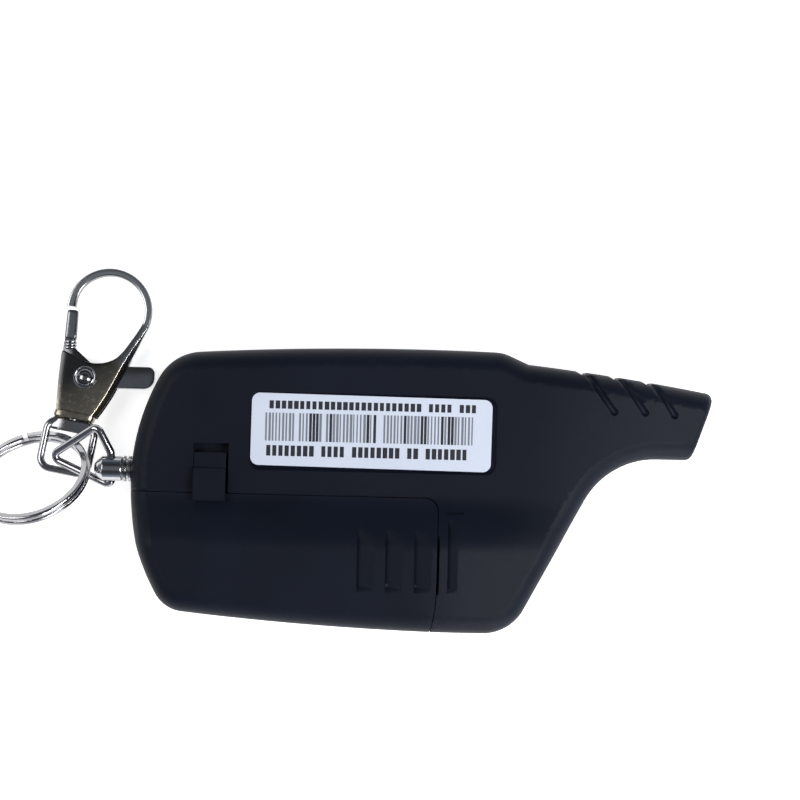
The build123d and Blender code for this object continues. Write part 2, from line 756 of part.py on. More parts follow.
# Screws: three hold the board down, two join the shells under the cover
for name, places, top in (("board_screws", board_screws, board_top), ("housing_screws", housing_screws, deck_z)):
    with BuildPart() as screw_set:
        with BuildSketch(Plane.XY.offset(top)):
            with Locations(places):
                Circle(screw_head_radius)
                Rectangle(1.5, 0.3, mode=Mode.SUBTRACT)
                Rectangle(0.3, 1.5, mode=Mode.SUBTRACT)
        extrude(amount=screw_head_height)
        with BuildSketch(Plane.XY.offset(top + 0.3)):
            with Locations(places):
                Circle(screw_head_radius)
        extrude(amount=-0.3)
        with BuildSketch(Plane.XY.offset(top)):
            with Locations(places):
                Circle(screw_radius - 0.05)
        extrude(amount=-screw_length)
    screw_set.part.label = name
    parts_list.append((name, screw_set))

# Front buttons with their flanges, each on its switch
for number, y in enumerate(button_y, 1):
    with BuildPart() as button:
        with BuildSketch(Plane.XY.offset(button_proud_z)):
            with Locations((button_x, y)):
                RectangleRounded(button_length, button_width, 2)
        extrude(amount=pad_z + 0.05 - button_proud_z)
        fillet(button.faces().sort_by(Axis.Z)[0].outer_wire().edges(), 0.4)
        with BuildSketch(Plane.XY.offset(pad_z + 0.05)):
            with Locations((button_x, y)):
                RectangleRounded(button_length + 2 * button_flange, button_width + 2 * button_flange, 2)
        extrude(amount=button_flange_thickness)
    parts_list.append((f"button_{number}", button))
    with BuildPart() as stem:
        with BuildSketch(Plane.XY.offset(stem_z)):
            with Locations((button_x, y)):
                Circle(switch_stem_radius)
        extrude(amount=board_z - button_travel - 0.04 - stem_z)
    parts_list.append((f"switch_stem_{number}", stem))
with BuildPart() as switch_bases:
    with BuildSketch(Plane.XY.offset(stem_z + button_travel + 0.06)):
        with Locations([(button_x, y) for y in button_y]):
            Rectangle(4.5, 4.5)
            Circle(switch_stem_radius + 0.1, mode=Mode.SUBTRACT)
    extrude(amount=board_z - stem_z - button_travel - 0.06)


def rounded_loop(plane, corners, radius):
    # Closed path of straight runs with rounded corners, drawn in the given plane.
    with BuildSketch(plane) as loop:
        with BuildLine():
            Polyline(*corners, close=True)
        make_face()
        fillet(loop.vertices(), radius)
    return loop.sketch.faces()[0].outer_wire()


def direction(azimuth, elevation):
    az, el = math.radians(azimuth), math.radians(elevation)
    return Vector(math.cos(az) * math.cos(el), math.sin(az) * math.cos(el), math.sin(el))


# Bush in the end wall and the stud that turns in it, held inside by its retaining clip
with BuildPart() as stud_bush:
    with BuildSketch(Plane.XZ.offset(-stud_y)) as bush_profile:
        with BuildLine():
            Polyline((collar_x, stud_z + shank_radius + shank_fit), (collar_x, stud_z + collar_radius),
                     (collar_x + 0.45, stud_z + collar_radius), (collar_x + 0.45, stud_z + collar_radius - 0.4),
                     (collar_x + 0.8, stud_z + collar_radius - 0.4), (collar_x + 0.8, stud_z + collar_radius),
                     (left_end_x - 0.03, stud_z + collar_radius), (left_end_x - 0.03, stud_z + bush_radius - 0.02),
                     (left_end_x + wall + 0.06, stud_z + bush_radius - 0.02),
                     (left_end_x + wall + 0.06, stud_z + bush_radius + 0.7),
                     (retainer_x - 0.08, stud_z + bush_radius + 0.7),
                     (retainer_x - 0.08, stud_z + shank_radius + shank_fit),
                     (collar_x, stud_z + shank_radius + shank_fit))
        make_face()
    revolve(axis=Axis((0, stud_y, stud_z), (1, 0, 0)))
stud_axis = Axis((0, stud_y, stud_z), (1, 0, 0))
roll = math.radians(link_roll)
tilt = math.radians(link_tilt)
link_across = Vector(0, math.cos(roll), math.sin(roll))
link_normal = Vector(0, -math.sin(roll), math.cos(roll))
link_out = Vector(-1, 0, 0) * math.cos(tilt) - link_normal * math.sin(tilt)
hinge_point = Vector(hinge_x, stud_y, stud_z)
link_plane = Plane(origin=hinge_point, x_dir=link_out, z_dir=link_out.cross(link_across))
with BuildPart() as swivel_stud:
    with BuildSketch(Plane.XZ.offset(-stud_y)):
        with BuildLine():
            Polyline((barrel_end_x, stud_z), (barrel_end_x, stud_z + 0.7), (barrel_end_x + 0.5, stud_z + 1.35),
                     (barrel_end_x + 1.4, stud_z + barrel_radius), (collar_x - 0.35, stud_z + barrel_radius),
                     (collar_x - 0.08, stud_z + barrel_radius - 0.25), (collar_x - 0.08, stud_z + shank_radius),
                     (retainer_x, stud_z + shank_radius), (retainer_x, stud_z + 0.8),
                     (retainer_x + retainer_thickness, stud_z + 0.8),
                     (retainer_x + retainer_thickness, stud_z + shank_radius),
                     (retainer_x + retainer_thickness + 0.7, stud_z + shank_radius - 0.1),
                     (retainer_x + retainer_thickness + 0.7, stud_z), (barrel_end_x, stud_z))
        make_face()
    revolve(axis=stud_axis)
    with BuildSketch(Plane(origin=hinge_point - link_across * 5, z_dir=link_across)):
        Circle(link_wire + 0.06)
    extrude(amount=10, mode=Mode.SUBTRACT)
with BuildPart() as stud_retainer:
    with BuildSketch(Plane.YZ.offset(retainer_x + 0.03)):
        with Locations((stud_y, stud_z)):
            Circle(bush_radius + 0.2)
            Circle(0.8, mode=Mode.SUBTRACT)
        with Locations((stud_y, stud_z - 2)):
            Rectangle(1.2, 3, mode=Mode.SUBTRACT)
    extrude(amount=retainer_thickness - 0.06)

# Wire link: a scalene triangle of round wire whose short side runs through the stud
with BuildPart() as connecting_link:
    link_path = rounded_loop(link_plane, ((0, -link_half), (0, 0.9 * link_half), link_peak, link_tip), 0.95)
    with BuildSketch(link_path ^ 0):
        Circle(link_wire)
    sweep(path=link_path)

# Split ring: two close coils, with a notch where the outer coil's end lies
ring_normal_x = direction(ring_azimuth, ring_tilt)
ring_side = direction(ring_azimuth + 90, 0)
ring_plane = Plane(origin=ring_center, x_dir=ring_normal_x, z_dir=ring_normal_x.cross(ring_side))
ring_profile_plane = Plane(origin=ring_center, x_dir=ring_normal_x, z_dir=ring_side)
with BuildPart() as split_ring:
    with BuildSketch(ring_profile_plane):
        for side in (-1, 1):
            with Locations((ring_radius, side * ring_wire_height / 2)):
                RectangleRounded(2 * ring_wire, ring_wire_height + 0.04, 0.3)
    revolve(axis=Axis(ring_center, ring_normal_x.cross(ring_side)))
    with BuildSketch(ring_plane.offset(0.02)):
        with Locations((-ring_radius, 0)):
            Rectangle(4, 0.7, rotation=12)
    extrude(amount=2, mode=Mode.SUBTRACT)

# Clasp, drawn in its own plane: X to its right, Y along it to the hook, Z out of the flat
clasp_along = direction(90 - clasp_lean, -clasp_drop)
clasp_right = direction(-clasp_lean, 0)
clasp_plane = Plane(origin=clasp_base, x_dir=clasp_right, z_dir=clasp_right.cross(clasp_along))
with BuildPart() as clasp_eye:
    eye_path = rounded_loop(clasp_plane, ((eye_half_width, -eye_start), (eye_half_width, -eye_reach),
                                          (-eye_half_width, -eye_reach), (-eye_half_width, -eye_start)), 1.8)
    with BuildSketch(eye_path ^ 0):
        Circle(eye_wire)
    sweep(path=eye_path)
    with BuildSketch(clasp_plane):
        with Locations((0, -(drum_near + drum_far) / 2)):
            RectangleRounded(2 * drum_half_width, drum_far - drum_near, 0.7)
    extrude(amount=drum_half_thickness, both=True)
    pin_plane = Plane(origin=clasp_plane.from_local_coords((0, -drum_near - 0.2, 0)), z_dir=clasp_along)
    with BuildSketch(pin_plane):
        Circle(pin_radius)
    extrude(amount=drum_near + 1.1)
    with BuildSketch(pin_plane.offset(drum_near + 0.8)):
        Circle(pin_radius + 0.45)
    extrude(amount=0.6)

with BuildPart() as clasp_body:
    with BuildSketch(clasp_plane):
        with BuildLine():
            Polyline((3.2, -0.6), (7.25, 11.4), (6.2, 11.9), (5.3, 10.6), (4.2, 9.2))
            ThreePointArc((4.2, 9.2), (0.6, 7.95), (-2.3, 9.0))
            Polyline((-2.3, 9.0), (-3.95, 9.0), (-3.2, -0.6), (3.2, -0.6))
        make_face()
    extrude(amount=clasp_thickness / 2, both=True)
    with BuildSketch(clasp_plane):
        with Locations((-0.15, -0.5)):
            RectangleRounded(6.8, 1.8, 0.5)
    extrude(amount=clasp_thickness / 2 + 0.25, both=True)
    # Hook, a round-backed wire that narrows toward its tip
    leg_angle = -18
    leg_point = (hook_center[0] + hook_radius * math.cos(math.radians(leg_angle)),
                 hook_center[1] + hook_radius * math.sin(math.radians(leg_angle)))
    with BuildLine(clasp_plane) as hook_path:
        Line((leg_point[0] - 0.309 * 4.6, leg_point[1] - 0.951 * 4.6), leg_point)
        CenterArc(hook_center, hook_radius, leg_angle, 184.6 - leg_angle)
    with BuildSketch(hook_path.line ^ 0):
        Ellipse(hook_wire, hook_half_thickness)
    sweep()
    # Slot between the cheeks for the gate and its lever
    with BuildSketch(clasp_plane.offset(-slot_thickness / 2)):
        with Locations((0, (slot_top + slot_bottom) / 2)):
            Rectangle(30, slot_top - slot_bottom)
    extrude(amount=slot_thickness, mode=Mode.SUBTRACT)
    with BuildSketch(clasp_plane):
        with Locations(rivet_place):
            Circle(rivet_radius)
    extrude(amount=5, both=True, mode=Mode.SUBTRACT)
    # Bore for the eye's swivel pin, with room for its head
    bore_plane = Plane(origin=clasp_plane.from_local_coords((0, -2, 0)), z_dir=clasp_along)
    with BuildSketch(bore_plane):
        Circle(pin_radius + pin_fit)
    extrude(amount=4, mode=Mode.SUBTRACT)
    with BuildSketch(bore_plane.offset(2.55)):
        Circle(pin_radius + 0.6)
    extrude(amount=1.2, mode=Mode.SUBTRACT)

with BuildPart() as clasp_rivet:
    with BuildSketch(clasp_plane):
        with Locations(rivet_place):
            Circle(rivet_radius)
    extrude(amount=clasp_thickness / 2, both=True)
    for side in (-1, 1):
        with BuildSketch(clasp_plane.offset(side * clasp_thickness / 2)):
            with Locations(rivet_place):
                Circle(rivet_head_radius)
        extrude(amount=side * 0.35)
        with BuildSketch(clasp_plane.offset(side * (clasp_thickness / 2 + 0.35))):
            with Locations(rivet_place):
                Circle(rivet_head_radius - 0.3)
                Circle(rivet_head_radius - 0.7, mode=Mode.SUBTRACT)
        extrude(amount=side * 0.2)

with BuildPart() as clasp_gate:
    with BuildSketch(clasp_plane):
        with BuildLine():
            Polyline((-3.85, 9.1), (-4.6, 15.2), (-4.25, 15.85), (-3.2, 15.85), (-2.75, 15.2), (-2.0, 9.7),
                     (1.6, 7.3), (2.6, 3.4), (-0.8, 3.0), (-3.3, 6.5), (-3.85, 9.1))
        make_face()
        with Locations(rivet_place):
            Circle(2.3)
        with Locations(((rivet_place[0] + lever_reach) / 2 + 0.4, 6.35)):
            SlotOverall(lever_reach - rivet_place[0], lever_width, rotation=clasp_lean)
        with Locations(rivet_place):
            Circle(rivet_radius + 0.06, mode=Mode.SUBTRACT)
    extrude(amount=gate_thickness / 2, both=True)
    with BuildSketch(clasp_plane):
        with BuildLine():
            Polyline((-4.13, 11.4), (-4.6, 15.2), (-4.25, 15.85), (-3.2, 15.85), (-2.75, 15.2), (-2.23, 11.4),
                     (-4.13, 11.4))
        make_face()
    extrude(amount=hook_half_thickness, both=True)

parts_list += [("front_shell", front_shell), ("rear_shell", rear_shell), ("battery_cover", battery_cover),
               ("cover_latch", cover_latch), ("rating_label", rating_label), ("display_window", display_window),
               ("display_frame", display_frame), ("display_glass", display_glass),
               ("backlight_guide", backlight_guide), ("display_connector", display_connector),
               ("circuit_board", circuit_board), ("shield_can", shield_can), ("radio_chip", radio_chip),
               ("controller_chip", controller_chip), ("crystal_can", crystal_can), ("sounder", sounder),
               ("motor_mount", motor_mount), ("vibration_motor", vibration_motor),
               ("vibration_weight", vibration_weight), ("antenna_coil", antenna_coil),
               ("battery_cell", battery_cell), ("battery_contact_plate", battery_contact_plate),
               ("battery_contact_spring", battery_contact_spring), ("switch_bases", switch_bases),
               ("stud_bush", stud_bush), ("swivel_stud", swivel_stud), ("stud_retainer", stud_retainer),
               ("connecting_link", connecting_link), ("split_ring", split_ring), ("clasp_eye", clasp_eye),
               ("clasp_body", clasp_body), ("clasp_rivet", clasp_rivet), ("clasp_gate", clasp_gate)]

os.makedirs("parts", exist_ok=True)
for name, node in parts_list:
    node.part.label = name
    export_step(node.part, f"parts/{name}.step")
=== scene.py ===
import json
import math

import bmesh
import bpy
import numpy as np
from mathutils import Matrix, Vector


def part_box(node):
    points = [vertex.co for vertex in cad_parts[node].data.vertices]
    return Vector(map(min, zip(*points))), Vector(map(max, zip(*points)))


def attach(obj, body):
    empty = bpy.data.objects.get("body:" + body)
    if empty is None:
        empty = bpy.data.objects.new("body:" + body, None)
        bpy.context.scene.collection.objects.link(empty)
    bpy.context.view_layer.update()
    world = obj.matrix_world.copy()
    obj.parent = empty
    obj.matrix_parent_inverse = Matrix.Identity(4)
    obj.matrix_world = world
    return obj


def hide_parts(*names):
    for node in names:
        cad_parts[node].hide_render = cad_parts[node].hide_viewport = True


# A pager remote on its front: soft-touch housing, printed label, and a nickel key chain at its left end.
# Lengths in the dictionaries are millimetres, in the CAD model's own frame, and angles are degrees.
mm = 0.001
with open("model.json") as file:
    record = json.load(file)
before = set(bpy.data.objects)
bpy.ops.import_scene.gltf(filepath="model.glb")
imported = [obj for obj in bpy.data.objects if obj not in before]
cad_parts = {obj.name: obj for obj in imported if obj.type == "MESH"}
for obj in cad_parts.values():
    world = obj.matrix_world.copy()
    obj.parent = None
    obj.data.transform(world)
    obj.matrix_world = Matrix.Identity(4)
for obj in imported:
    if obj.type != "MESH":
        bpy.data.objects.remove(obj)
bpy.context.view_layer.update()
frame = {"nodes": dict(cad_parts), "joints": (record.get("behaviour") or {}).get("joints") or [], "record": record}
nodes = frame["nodes"]
bodyOf = {n: body for body, names in frame["record"]["behaviour"]["bodies"].items() for n in names}
slotOf = {s["node"]: s["material_slot"] for s in frame["record"]["subparts"]}
joint = {j["name"]: j for j in frame["joints"]}
buttonNames = ("button_1", "button_2", "button_3")


class Wire:  # one output socket, so that shader sums can be written as sums
    def __init__(self, paint, socket):
        self.paint = paint
        self.socket = socket

    def calc(self, operation, *values):
        return self.paint.node("Math", {"operation": operation}, dict(enumerate(values)))

    def __add__(self, other):
        return self.calc("ADD", self, other)

    __radd__ = __add__

    def __sub__(self, other):
        return self.calc("SUBTRACT", self, other)

    def __rsub__(self, other):
        return self.calc("SUBTRACT", other, self)

    def __mul__(self, other):
        return self.calc("MULTIPLY", self, other)

    __rmul__ = __mul__

    def __truediv__(self, other):
        return self.calc("DIVIDE", self, other)

    def __pow__(self, other):
        return self.calc("POWER", self, other)

    def __gt__(self, other):
        return self.calc("GREATER_THAN", self, other)

    def __lt__(self, other):
        return self.calc("LESS_THAN", self, other)

    def __abs__(self):
        return self.calc("ABSOLUTE", self)

    def __mod__(self, other):
        return self.calc("FLOORED_MODULO", self, other)

    def floor(self):
        return self.calc("FLOOR", self)

    def between(self, low, high):  # 1 where low < value < high
        return (self > low) * (self < high)

    def ramp(self, low, high):  # 0 below low, 1 above high, straight between
        return self.paint.node("MapRange", {"clamp": True}, {0: self, 1: low, 2: high, 3: 0.0, 4: 1.0})


class Paint:  # one material, or the sky, and the one way its nodes are added
    def __init__(self, name, owner=None):
        self.material = owner or bpy.data.materials.new(name)
        self.material.use_nodes = True
        self.material.node_tree.nodes.clear()

    def node(self, kind, settings=None, inputs=None, output=0):
        made = self.material.node_tree.nodes.new("ShaderNode" + kind)
        for key, value in (settings or {}).items():
            if key == "stops":
                stops = made.color_ramp.elements
                while len(stops) < len(value):
                    stops.new(0.5)
                for stop, (where, shade) in zip(stops, value):
                    stop.position = where
                    stop.color = shade
            else:
                setattr(made, key, value)
        for key, value in (inputs or {}).items():
            if isinstance(value, Wire):
                self.material.node_tree.links.new(value.socket, made.inputs[key])
            else:
                made.inputs[key].default_value = value
        return Wire(self, made.outputs[output]) if made.outputs else None

    def place(self, x=1.0, y=1.0, z=1.0):  # object coordinates in millimetres, times a factor for each axis
        coordinate = self.node("TexCoord", output="Object")
        scale = (x / mm, y / mm, z / mm)
        return self.node("VectorMath", {"operation": "MULTIPLY"}, {0: coordinate, 1: scale})

    def split(self, vector):
        parts = self.node("SeparateXYZ", None, {0: vector})
        return [Wire(self, socket) for socket in parts.socket.node.outputs]

    def fromMiddle(self, node):  # distances along X and Y from the middle of a CAD node's box, and its size
        x, y, z = self.split(self.place())
        low, high = (np.array(corner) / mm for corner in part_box(node))
        return x - float(low[0] + high[0]) / 2, y - float(low[1] + high[1]) / 2, high - low

    def noise(self, scale, detail=2.0, where=None, roughness=0.5):
        where = where or self.place()
        return self.node("TexNoise", None,
                         {"Vector": where, "Scale": scale, "Detail": detail, "Roughness": roughness})

    def mix(self, share, one, two):
        return self.node("Mix", {"data_type": "RGBA"}, {0: share, 6: one, 7: two}, output=2)

    def bump(self, height, depth, strength=1.0):  # depth in millimetres
        return self.node("Bump", None, {"Height": height, "Distance": depth * mm, "Strength": strength})

    def finish(self, **sockets):
        names = {name.replace("_", " "): value for name, value in sockets.items()}
        shader = self.node("BsdfPrincipled", None, names)
        self.node("OutputMaterial", None, {"Surface": shader})
        return self.material


def rgb(red, green, blue):
    return (red, green, blue, 1.0)


# The clasp's own plane: across it, along it to the hook, and out of it
claspAlong = np.array(joint["clasp_swivel"]["axis"])
claspOut = -np.array(joint["gate_hinge"]["axis"])
claspFrame = np.stack([np.cross(claspAlong, claspOut), claspAlong, claspOut])
claspBase = np.array(joint["clasp_swivel"]["pos_m"]) / mm


print("materials")
cloudRange = (0.3, 0.7)  # where slow clouds pass from one tone to the other
softTouch = {"dark": rgb(0.0033, 0.0050, 0.0105), "light": rgb(0.0047, 0.0072, 0.0152), "cloud": 0.045,
             "rubbed": rgb(0.010, 0.012, 0.018), "speck": 1.1, "speckRange": (0.68, 0.8),
             "speckShare": 0.25, "grain": 5.5, "grainDepth": 0.012, "roughness": 0.5,
             "cloudRoughness": 0.16, "speckRoughness": 0.1, "ior": 1.45, "specular": 0.14}


def makeSoftTouch(name, shift):
    # Rubbery paint: slow colour clouds, fine pebble bump, a few paler rubbed specks
    paint = Paint(name)
    where = paint.node("VectorMath", {"operation": "ADD"}, {0: paint.place(), 1: (shift, 0, 0)})
    cloud = paint.noise(softTouch["cloud"], 3.0, where)
    grain = paint.noise(softTouch["grain"], 2.0, where)
    speck = paint.noise(softTouch["speck"], 5.0, where, 0.7).ramp(*softTouch["speckRange"])
    shade = paint.mix(cloud.ramp(*cloudRange), softTouch["dark"], softTouch["light"])
    shade = paint.mix(speck * softTouch["speckShare"], shade, softTouch["rubbed"])
    rough = softTouch["roughness"] + (cloud - 0.5) * softTouch["cloudRoughness"]
    return paint.finish(Base_Color=shade, Roughness=rough + speck * softTouch["speckRoughness"],
                        IOR=softTouch["ior"], Specular_IOR_Level=softTouch["specular"],
                        Normal=paint.bump(grain, softTouch["grainDepth"]))


nickel = {"bright": rgb(0.50, 0.50, 0.52), "dark": rgb(0.27, 0.27, 0.29), "tarnish": rgb(0.30, 0.25, 0.19),
          "cloud": 0.25, "cloudShare": 0.8, "patch": 0.16, "patchRange": (0.45, 0.75), "scratch": 14.0,
          "scratchStretch": 0.09, "scratchRise": 0.4, "roughness": 0.13, "scratchRoughness": 0.14,
          "patchRoughness": 0.06, "depth": 0.01, "bump": 0.5}


def makeNickel(name, share=0.5, warm=0.25, roughness=nickel["roughness"]):
    # Dark nickel plate: slow tone clouds, warm tarnish in patches, hairline scratches in roughness and bump
    paint = Paint(name)
    cloud = paint.noise(nickel["cloud"], 3.0)
    patch = paint.noise(nickel["patch"], 2.0, paint.place(1.3, 0.9, 1.0)).ramp(*nickel["patchRange"])
    scratch = paint.noise(nickel["scratch"], 4.0, paint.place(y=nickel["scratchStretch"]), 0.6)
    shade = paint.mix((cloud - 0.5) * nickel["cloudShare"] + share, nickel["dark"], nickel["bright"])
    shade = paint.mix(patch * warm, shade, nickel["tarnish"])
    rough = roughness + (scratch - 0.5) * nickel["scratchRoughness"] + patch * nickel["patchRoughness"]
    rise = scratch * nickel["scratchRise"] + cloud
    return paint.finish(Base_Color=shade, Metallic=1.0, Roughness=rough,
                        Normal=paint.bump(rise, nickel["depth"], nickel["bump"]))


# The clasp's plate, and the two paler bands on it, whose tone is a painted reflection of their flat faces:
# the hook's round one and the gate's straight one. Top and low are painted reflection too, the plate dark on
# its upper left and warm low on its right, and claspTone's edge colour is painted shade along the bands'
# rounded edges. Centres are (across, along), and a band's edge says how far inside the half width that
# painted shade starts and is full
claspTone = {"top": rgb(0.075, 0.076, 0.074), "low": rgb(0.32, 0.285, 0.225),
             "fleck": rgb(0.62, 0.56, 0.46), "edge": rgb(0.10, 0.10, 0.10), "edgeShare": 0.9,
             "wanderScale": 0.22, "wander": 4.5, "warmLean": (0.7, 0.75), "warmStart": 2.2,
             "warmRange": (-3.2, 4.0), "fleckScale": 1.7, "fleckRange": (0.54, 0.7), "fleckShare": 0.8,
             "scratch": 9.0, "scratchStretch": 0.12, "scratchRise": 0.3, "fleckRise": 0.5,
             "roughness": 0.14, "scratchRoughness": 0.12, "warmRoughness": 0.05, "depth": 0.012,
             "bump": 0.6}
hookBand = {"tone": rgb(0.58, 0.59, 0.60), "centre": (2.2, 16.7), "radius": 6.41, "half": 0.6,
            "edge": (0.22, 0.08), "start": (9.6, 12.2), "slant": 0.35, "wander": 0.15,
            "edgeStart": (12.6, 16.0)}
gateBand = {"tone": rgb(0.38, 0.39, 0.41), "centre": (-3.4, 13.2), "lean": 0.117, "half": 0.95,
            "edge": (0.5, 0.2)}


def makeClaspNickel(name, band):
    # Nickel with a painted reflection, dark on the plate's upper left and warm low on its right, with pale flecks
    # over the warm side; the band is paler, a painted reflection of its flat face, with painted shade along its
    # edges where the distance from its middle nears its half width
    paint = Paint(name)
    across, along = [paint.node("VectorMath", {"operation": "DOT_PRODUCT"},
                                {0: paint.place(), 1: tuple(axis)}, output=1) - float(axis @ claspBase)
                     for axis in claspFrame[:2]]
    wander = (paint.noise(claspTone["wanderScale"], 3.0) - 0.5) * claspTone["wander"]
    right, down = claspTone["warmLean"]
    warm = (across * right - along * down + claspTone["warmStart"] + wander).ramp(*claspTone["warmRange"])
    fleck = paint.noise(claspTone["fleckScale"], 4.0, None, 0.7).ramp(*claspTone["fleckRange"]) * warm
    scratch = paint.noise(claspTone["scratch"], 4.0, paint.place(y=claspTone["scratchStretch"]), 0.6)
    beside, beyond = across - band["centre"][0], along - band["centre"][1]
    edgeRange = [band["half"] - inset for inset in band["edge"]]
    if band is hookBand:
        share = (along + across * band["slant"] + wander * band["wander"]).ramp(*band["start"])
        radius = (beside ** 2 + beyond ** 2) ** 0.5
        edge = along.ramp(*band["edgeStart"]) * abs(radius - band["radius"]).ramp(*edgeRange)
    else:
        share = 1.0
        edge = abs(beside + beyond * band["lean"]).ramp(*edgeRange)
    # Painted reflection: dark upper left, warm low right, paler band; then painted shade at the band's edges
    shade = paint.mix(warm, claspTone["top"], claspTone["low"])
    shade = paint.mix(fleck * claspTone["fleckShare"], shade, claspTone["fleck"])
    shade = paint.mix(share, shade, band["tone"])
    shade = paint.mix(edge * claspTone["edgeShare"], shade, claspTone["edge"])
    rough = claspTone["roughness"] + scratch * claspTone["scratchRoughness"]
    rise = scratch * claspTone["scratchRise"] + fleck * claspTone["fleckRise"]
    return paint.finish(Base_Color=shade, Metallic=1.0, Roughness=rough + warm * claspTone["warmRoughness"],
                        Normal=paint.bump(rise, claspTone["depth"], claspTone["bump"]))


def makePlain(name, one, two, roughness, scale=0.6, depth=0.01, metallic=0.0):
    # Two tones in soft clouds under a fine grain, for the small inner pieces
    paint = Paint(name)
    cloud = paint.noise(scale, 3.0)
    grain = paint.noise(scale * 12, 2.0)
    shade = paint.mix(cloud.ramp(*cloudRange), one, two)
    return paint.finish(Base_Color=shade, Metallic=metallic, Roughness=roughness + (cloud - 0.5) * 0.15,
                        Normal=paint.bump(grain, depth))


# Each mark has its own step along X. It starts a gap into the step and ends at its width, the least and
# what noise adds, both shares of the step; marks whose noise is under missing are left out. Lines are
# solid where it is over thick, and elsewhere as dense as thin says
labelTone = {"film": rgb(0.60, 0.65, 0.76), "edge": rgb(0.50, 0.56, 0.66), "ink": rgb(0.012, 0.013, 0.02),
             "cloud": 0.12, "cloudShare": 0.35, "grain": 2.4, "depth": 0.01, "roughness": 0.38,
             "inkRoughness": 0.12, "specular": 0.4}
labelLines = {"step": 0.54, "x": (-11.4, 22.2), "y": (7.8, 12.3), "gap": 0.1, "width": (0.42, 0.5),
              "missing": 0.1, "seed": 7.5, "thin": 0.74, "thick": 0.9}
labelBlocks = {"step": 0.98, "steps": (-11, 23), "rows": ((12.95, 14.25), (5.4, 7.1)),
               "gap": 0.1, "width": (0.72, 0.16), "missing": 0.16, "seed": 40.5, "rowShift": 0.37,
               "rowSeed": 17}


def printedMarks(paint, steps, seed, style):
    # White noise, one value for each whole step, widens its mark or leaves it out
    known = paint.node("TexWhiteNoise", {"noise_dimensions": "1D"}, {"W": steps.floor() + seed})
    least, more = style["width"]
    return known, (steps % 1.0).between(style["gap"], least + more * known) * (known > style["missing"])


def makeLabelFilm():
    # Pale film with soft clouds, printed with stand-in upright lines between two rows of plain blocks
    paint = Paint("labelFilm")
    x, y, z = paint.split(paint.place())
    known, marks = printedMarks(paint, x / labelLines["step"], labelLines["seed"], labelLines)
    solid = known > labelLines["thick"]
    ink = (solid + (1 - solid) * labelLines["thin"]) * marks
    ink = ink * x.between(*labelLines["x"]) * y.between(*labelLines["y"])
    for row, (low, high) in enumerate(labelBlocks["rows"]):
        steps = x / labelBlocks["step"] + labelBlocks["rowShift"] * row
        seed = labelBlocks["seed"] + labelBlocks["rowSeed"] * row
        known, marks = printedMarks(paint, steps, seed, labelBlocks)
        ink = ink + marks * steps.between(*labelBlocks["steps"]) * y.between(low, high)
    cloud = paint.noise(labelTone["cloud"], 2.0)
    shade = paint.mix(cloud.ramp(0.35, 0.65), labelTone["film"], labelTone["edge"])
    shade = paint.mix(cloud.ramp(0.0, 1.0) * labelTone["cloudShare"], labelTone["film"], shade)
    shade = paint.mix(ink, shade, labelTone["ink"])
    rough = labelTone["roughness"] + ink * labelTone["inkRoughness"] + (cloud - 0.5) * 0.1
    return paint.finish(Base_Color=shade, Roughness=rough, Specular_IOR_Level=labelTone["specular"],
                        Normal=paint.bump(paint.noise(labelTone["grain"], 2.0), labelTone["depth"]))


lcd = {"glass": rgb(0.155, 0.185, 0.13), "ghost": rgb(0.118, 0.142, 0.10), "mask": rgb(0.006, 0.007, 0.009),
       "border": 3.4, "digit": (3.6, 6.4), "digitGap": 1.6, "digitRise": 3.5, "lean": 0.08, "bar": 0.75,
       "barInset": 0.2, "barEnds": (0.35, 0.5), "iconHalf": (1.2, 1.3), "iconStep": 4.0, "iconRise": 6.5,
       "rowHalf": 10.2, "ghostShare": 0.8, "haze": 0.12, "roughness": 0.07}


def makeWindow():
    # Clear pane with a black printed border; the blank display behind it shows the ghosts of its digits
    paint = Paint("displayWindow")
    u, v, size = paint.fromMiddle("display_window")
    halfX, halfY = (size[:2] / 2 - lcd["border"]).tolist()
    inside = (abs(u) < halfX) * (abs(v) < halfY)
    wide, tall = lcd["digit"]
    thick, step = lcd["bar"] / 2, wide + lcd["digitGap"]
    cell = (v + u * lcd["lean"]) % step - step / 2
    rise = u + lcd["digitRise"]
    upright = abs(abs(cell) - wide / 2 + lcd["barInset"]) < thick
    upright = upright * (abs(abs(rise) - tall / 4) < tall / 4 - lcd["barEnds"][0])
    level = (abs(rise) < thick) + (abs(abs(rise) - tall / 2) < thick)
    level = level * (abs(cell) < wide / 2 - lcd["barEnds"][1])
    iconX, iconY = lcd["iconHalf"]
    icon = (abs(v % lcd["iconStep"] - lcd["iconStep"] / 2) < iconY) * (abs(u - lcd["iconRise"]) < iconX)
    ghost = (upright + level + icon).ramp(0.0, 1.0) * (abs(v) < lcd["rowHalf"])
    haze = paint.noise(lcd["haze"], 3.0)
    shade = paint.mix(ghost * lcd["ghostShare"] + (haze - 0.5) * 0.15, lcd["glass"], lcd["ghost"])
    shade = paint.mix(inside, lcd["mask"], shade)
    return paint.finish(Base_Color=shade, Roughness=lcd["roughness"] + (haze - 0.5) * 0.04,
                        Specular_IOR_Level=0.5, Normal=paint.bump(haze, 0.01, 0.3))


button = {"dark": rgb(0.045, 0.048, 0.056), "light": rgb(0.062, 0.065, 0.074),
          "mark": rgb(0.34, 0.35, 0.37), "markHalf": (0.35, 1.5), "markRise": 6, "cloud": 0.3, "grain": 7.0,
          "depth": 0.012, "roughness": 0.6}


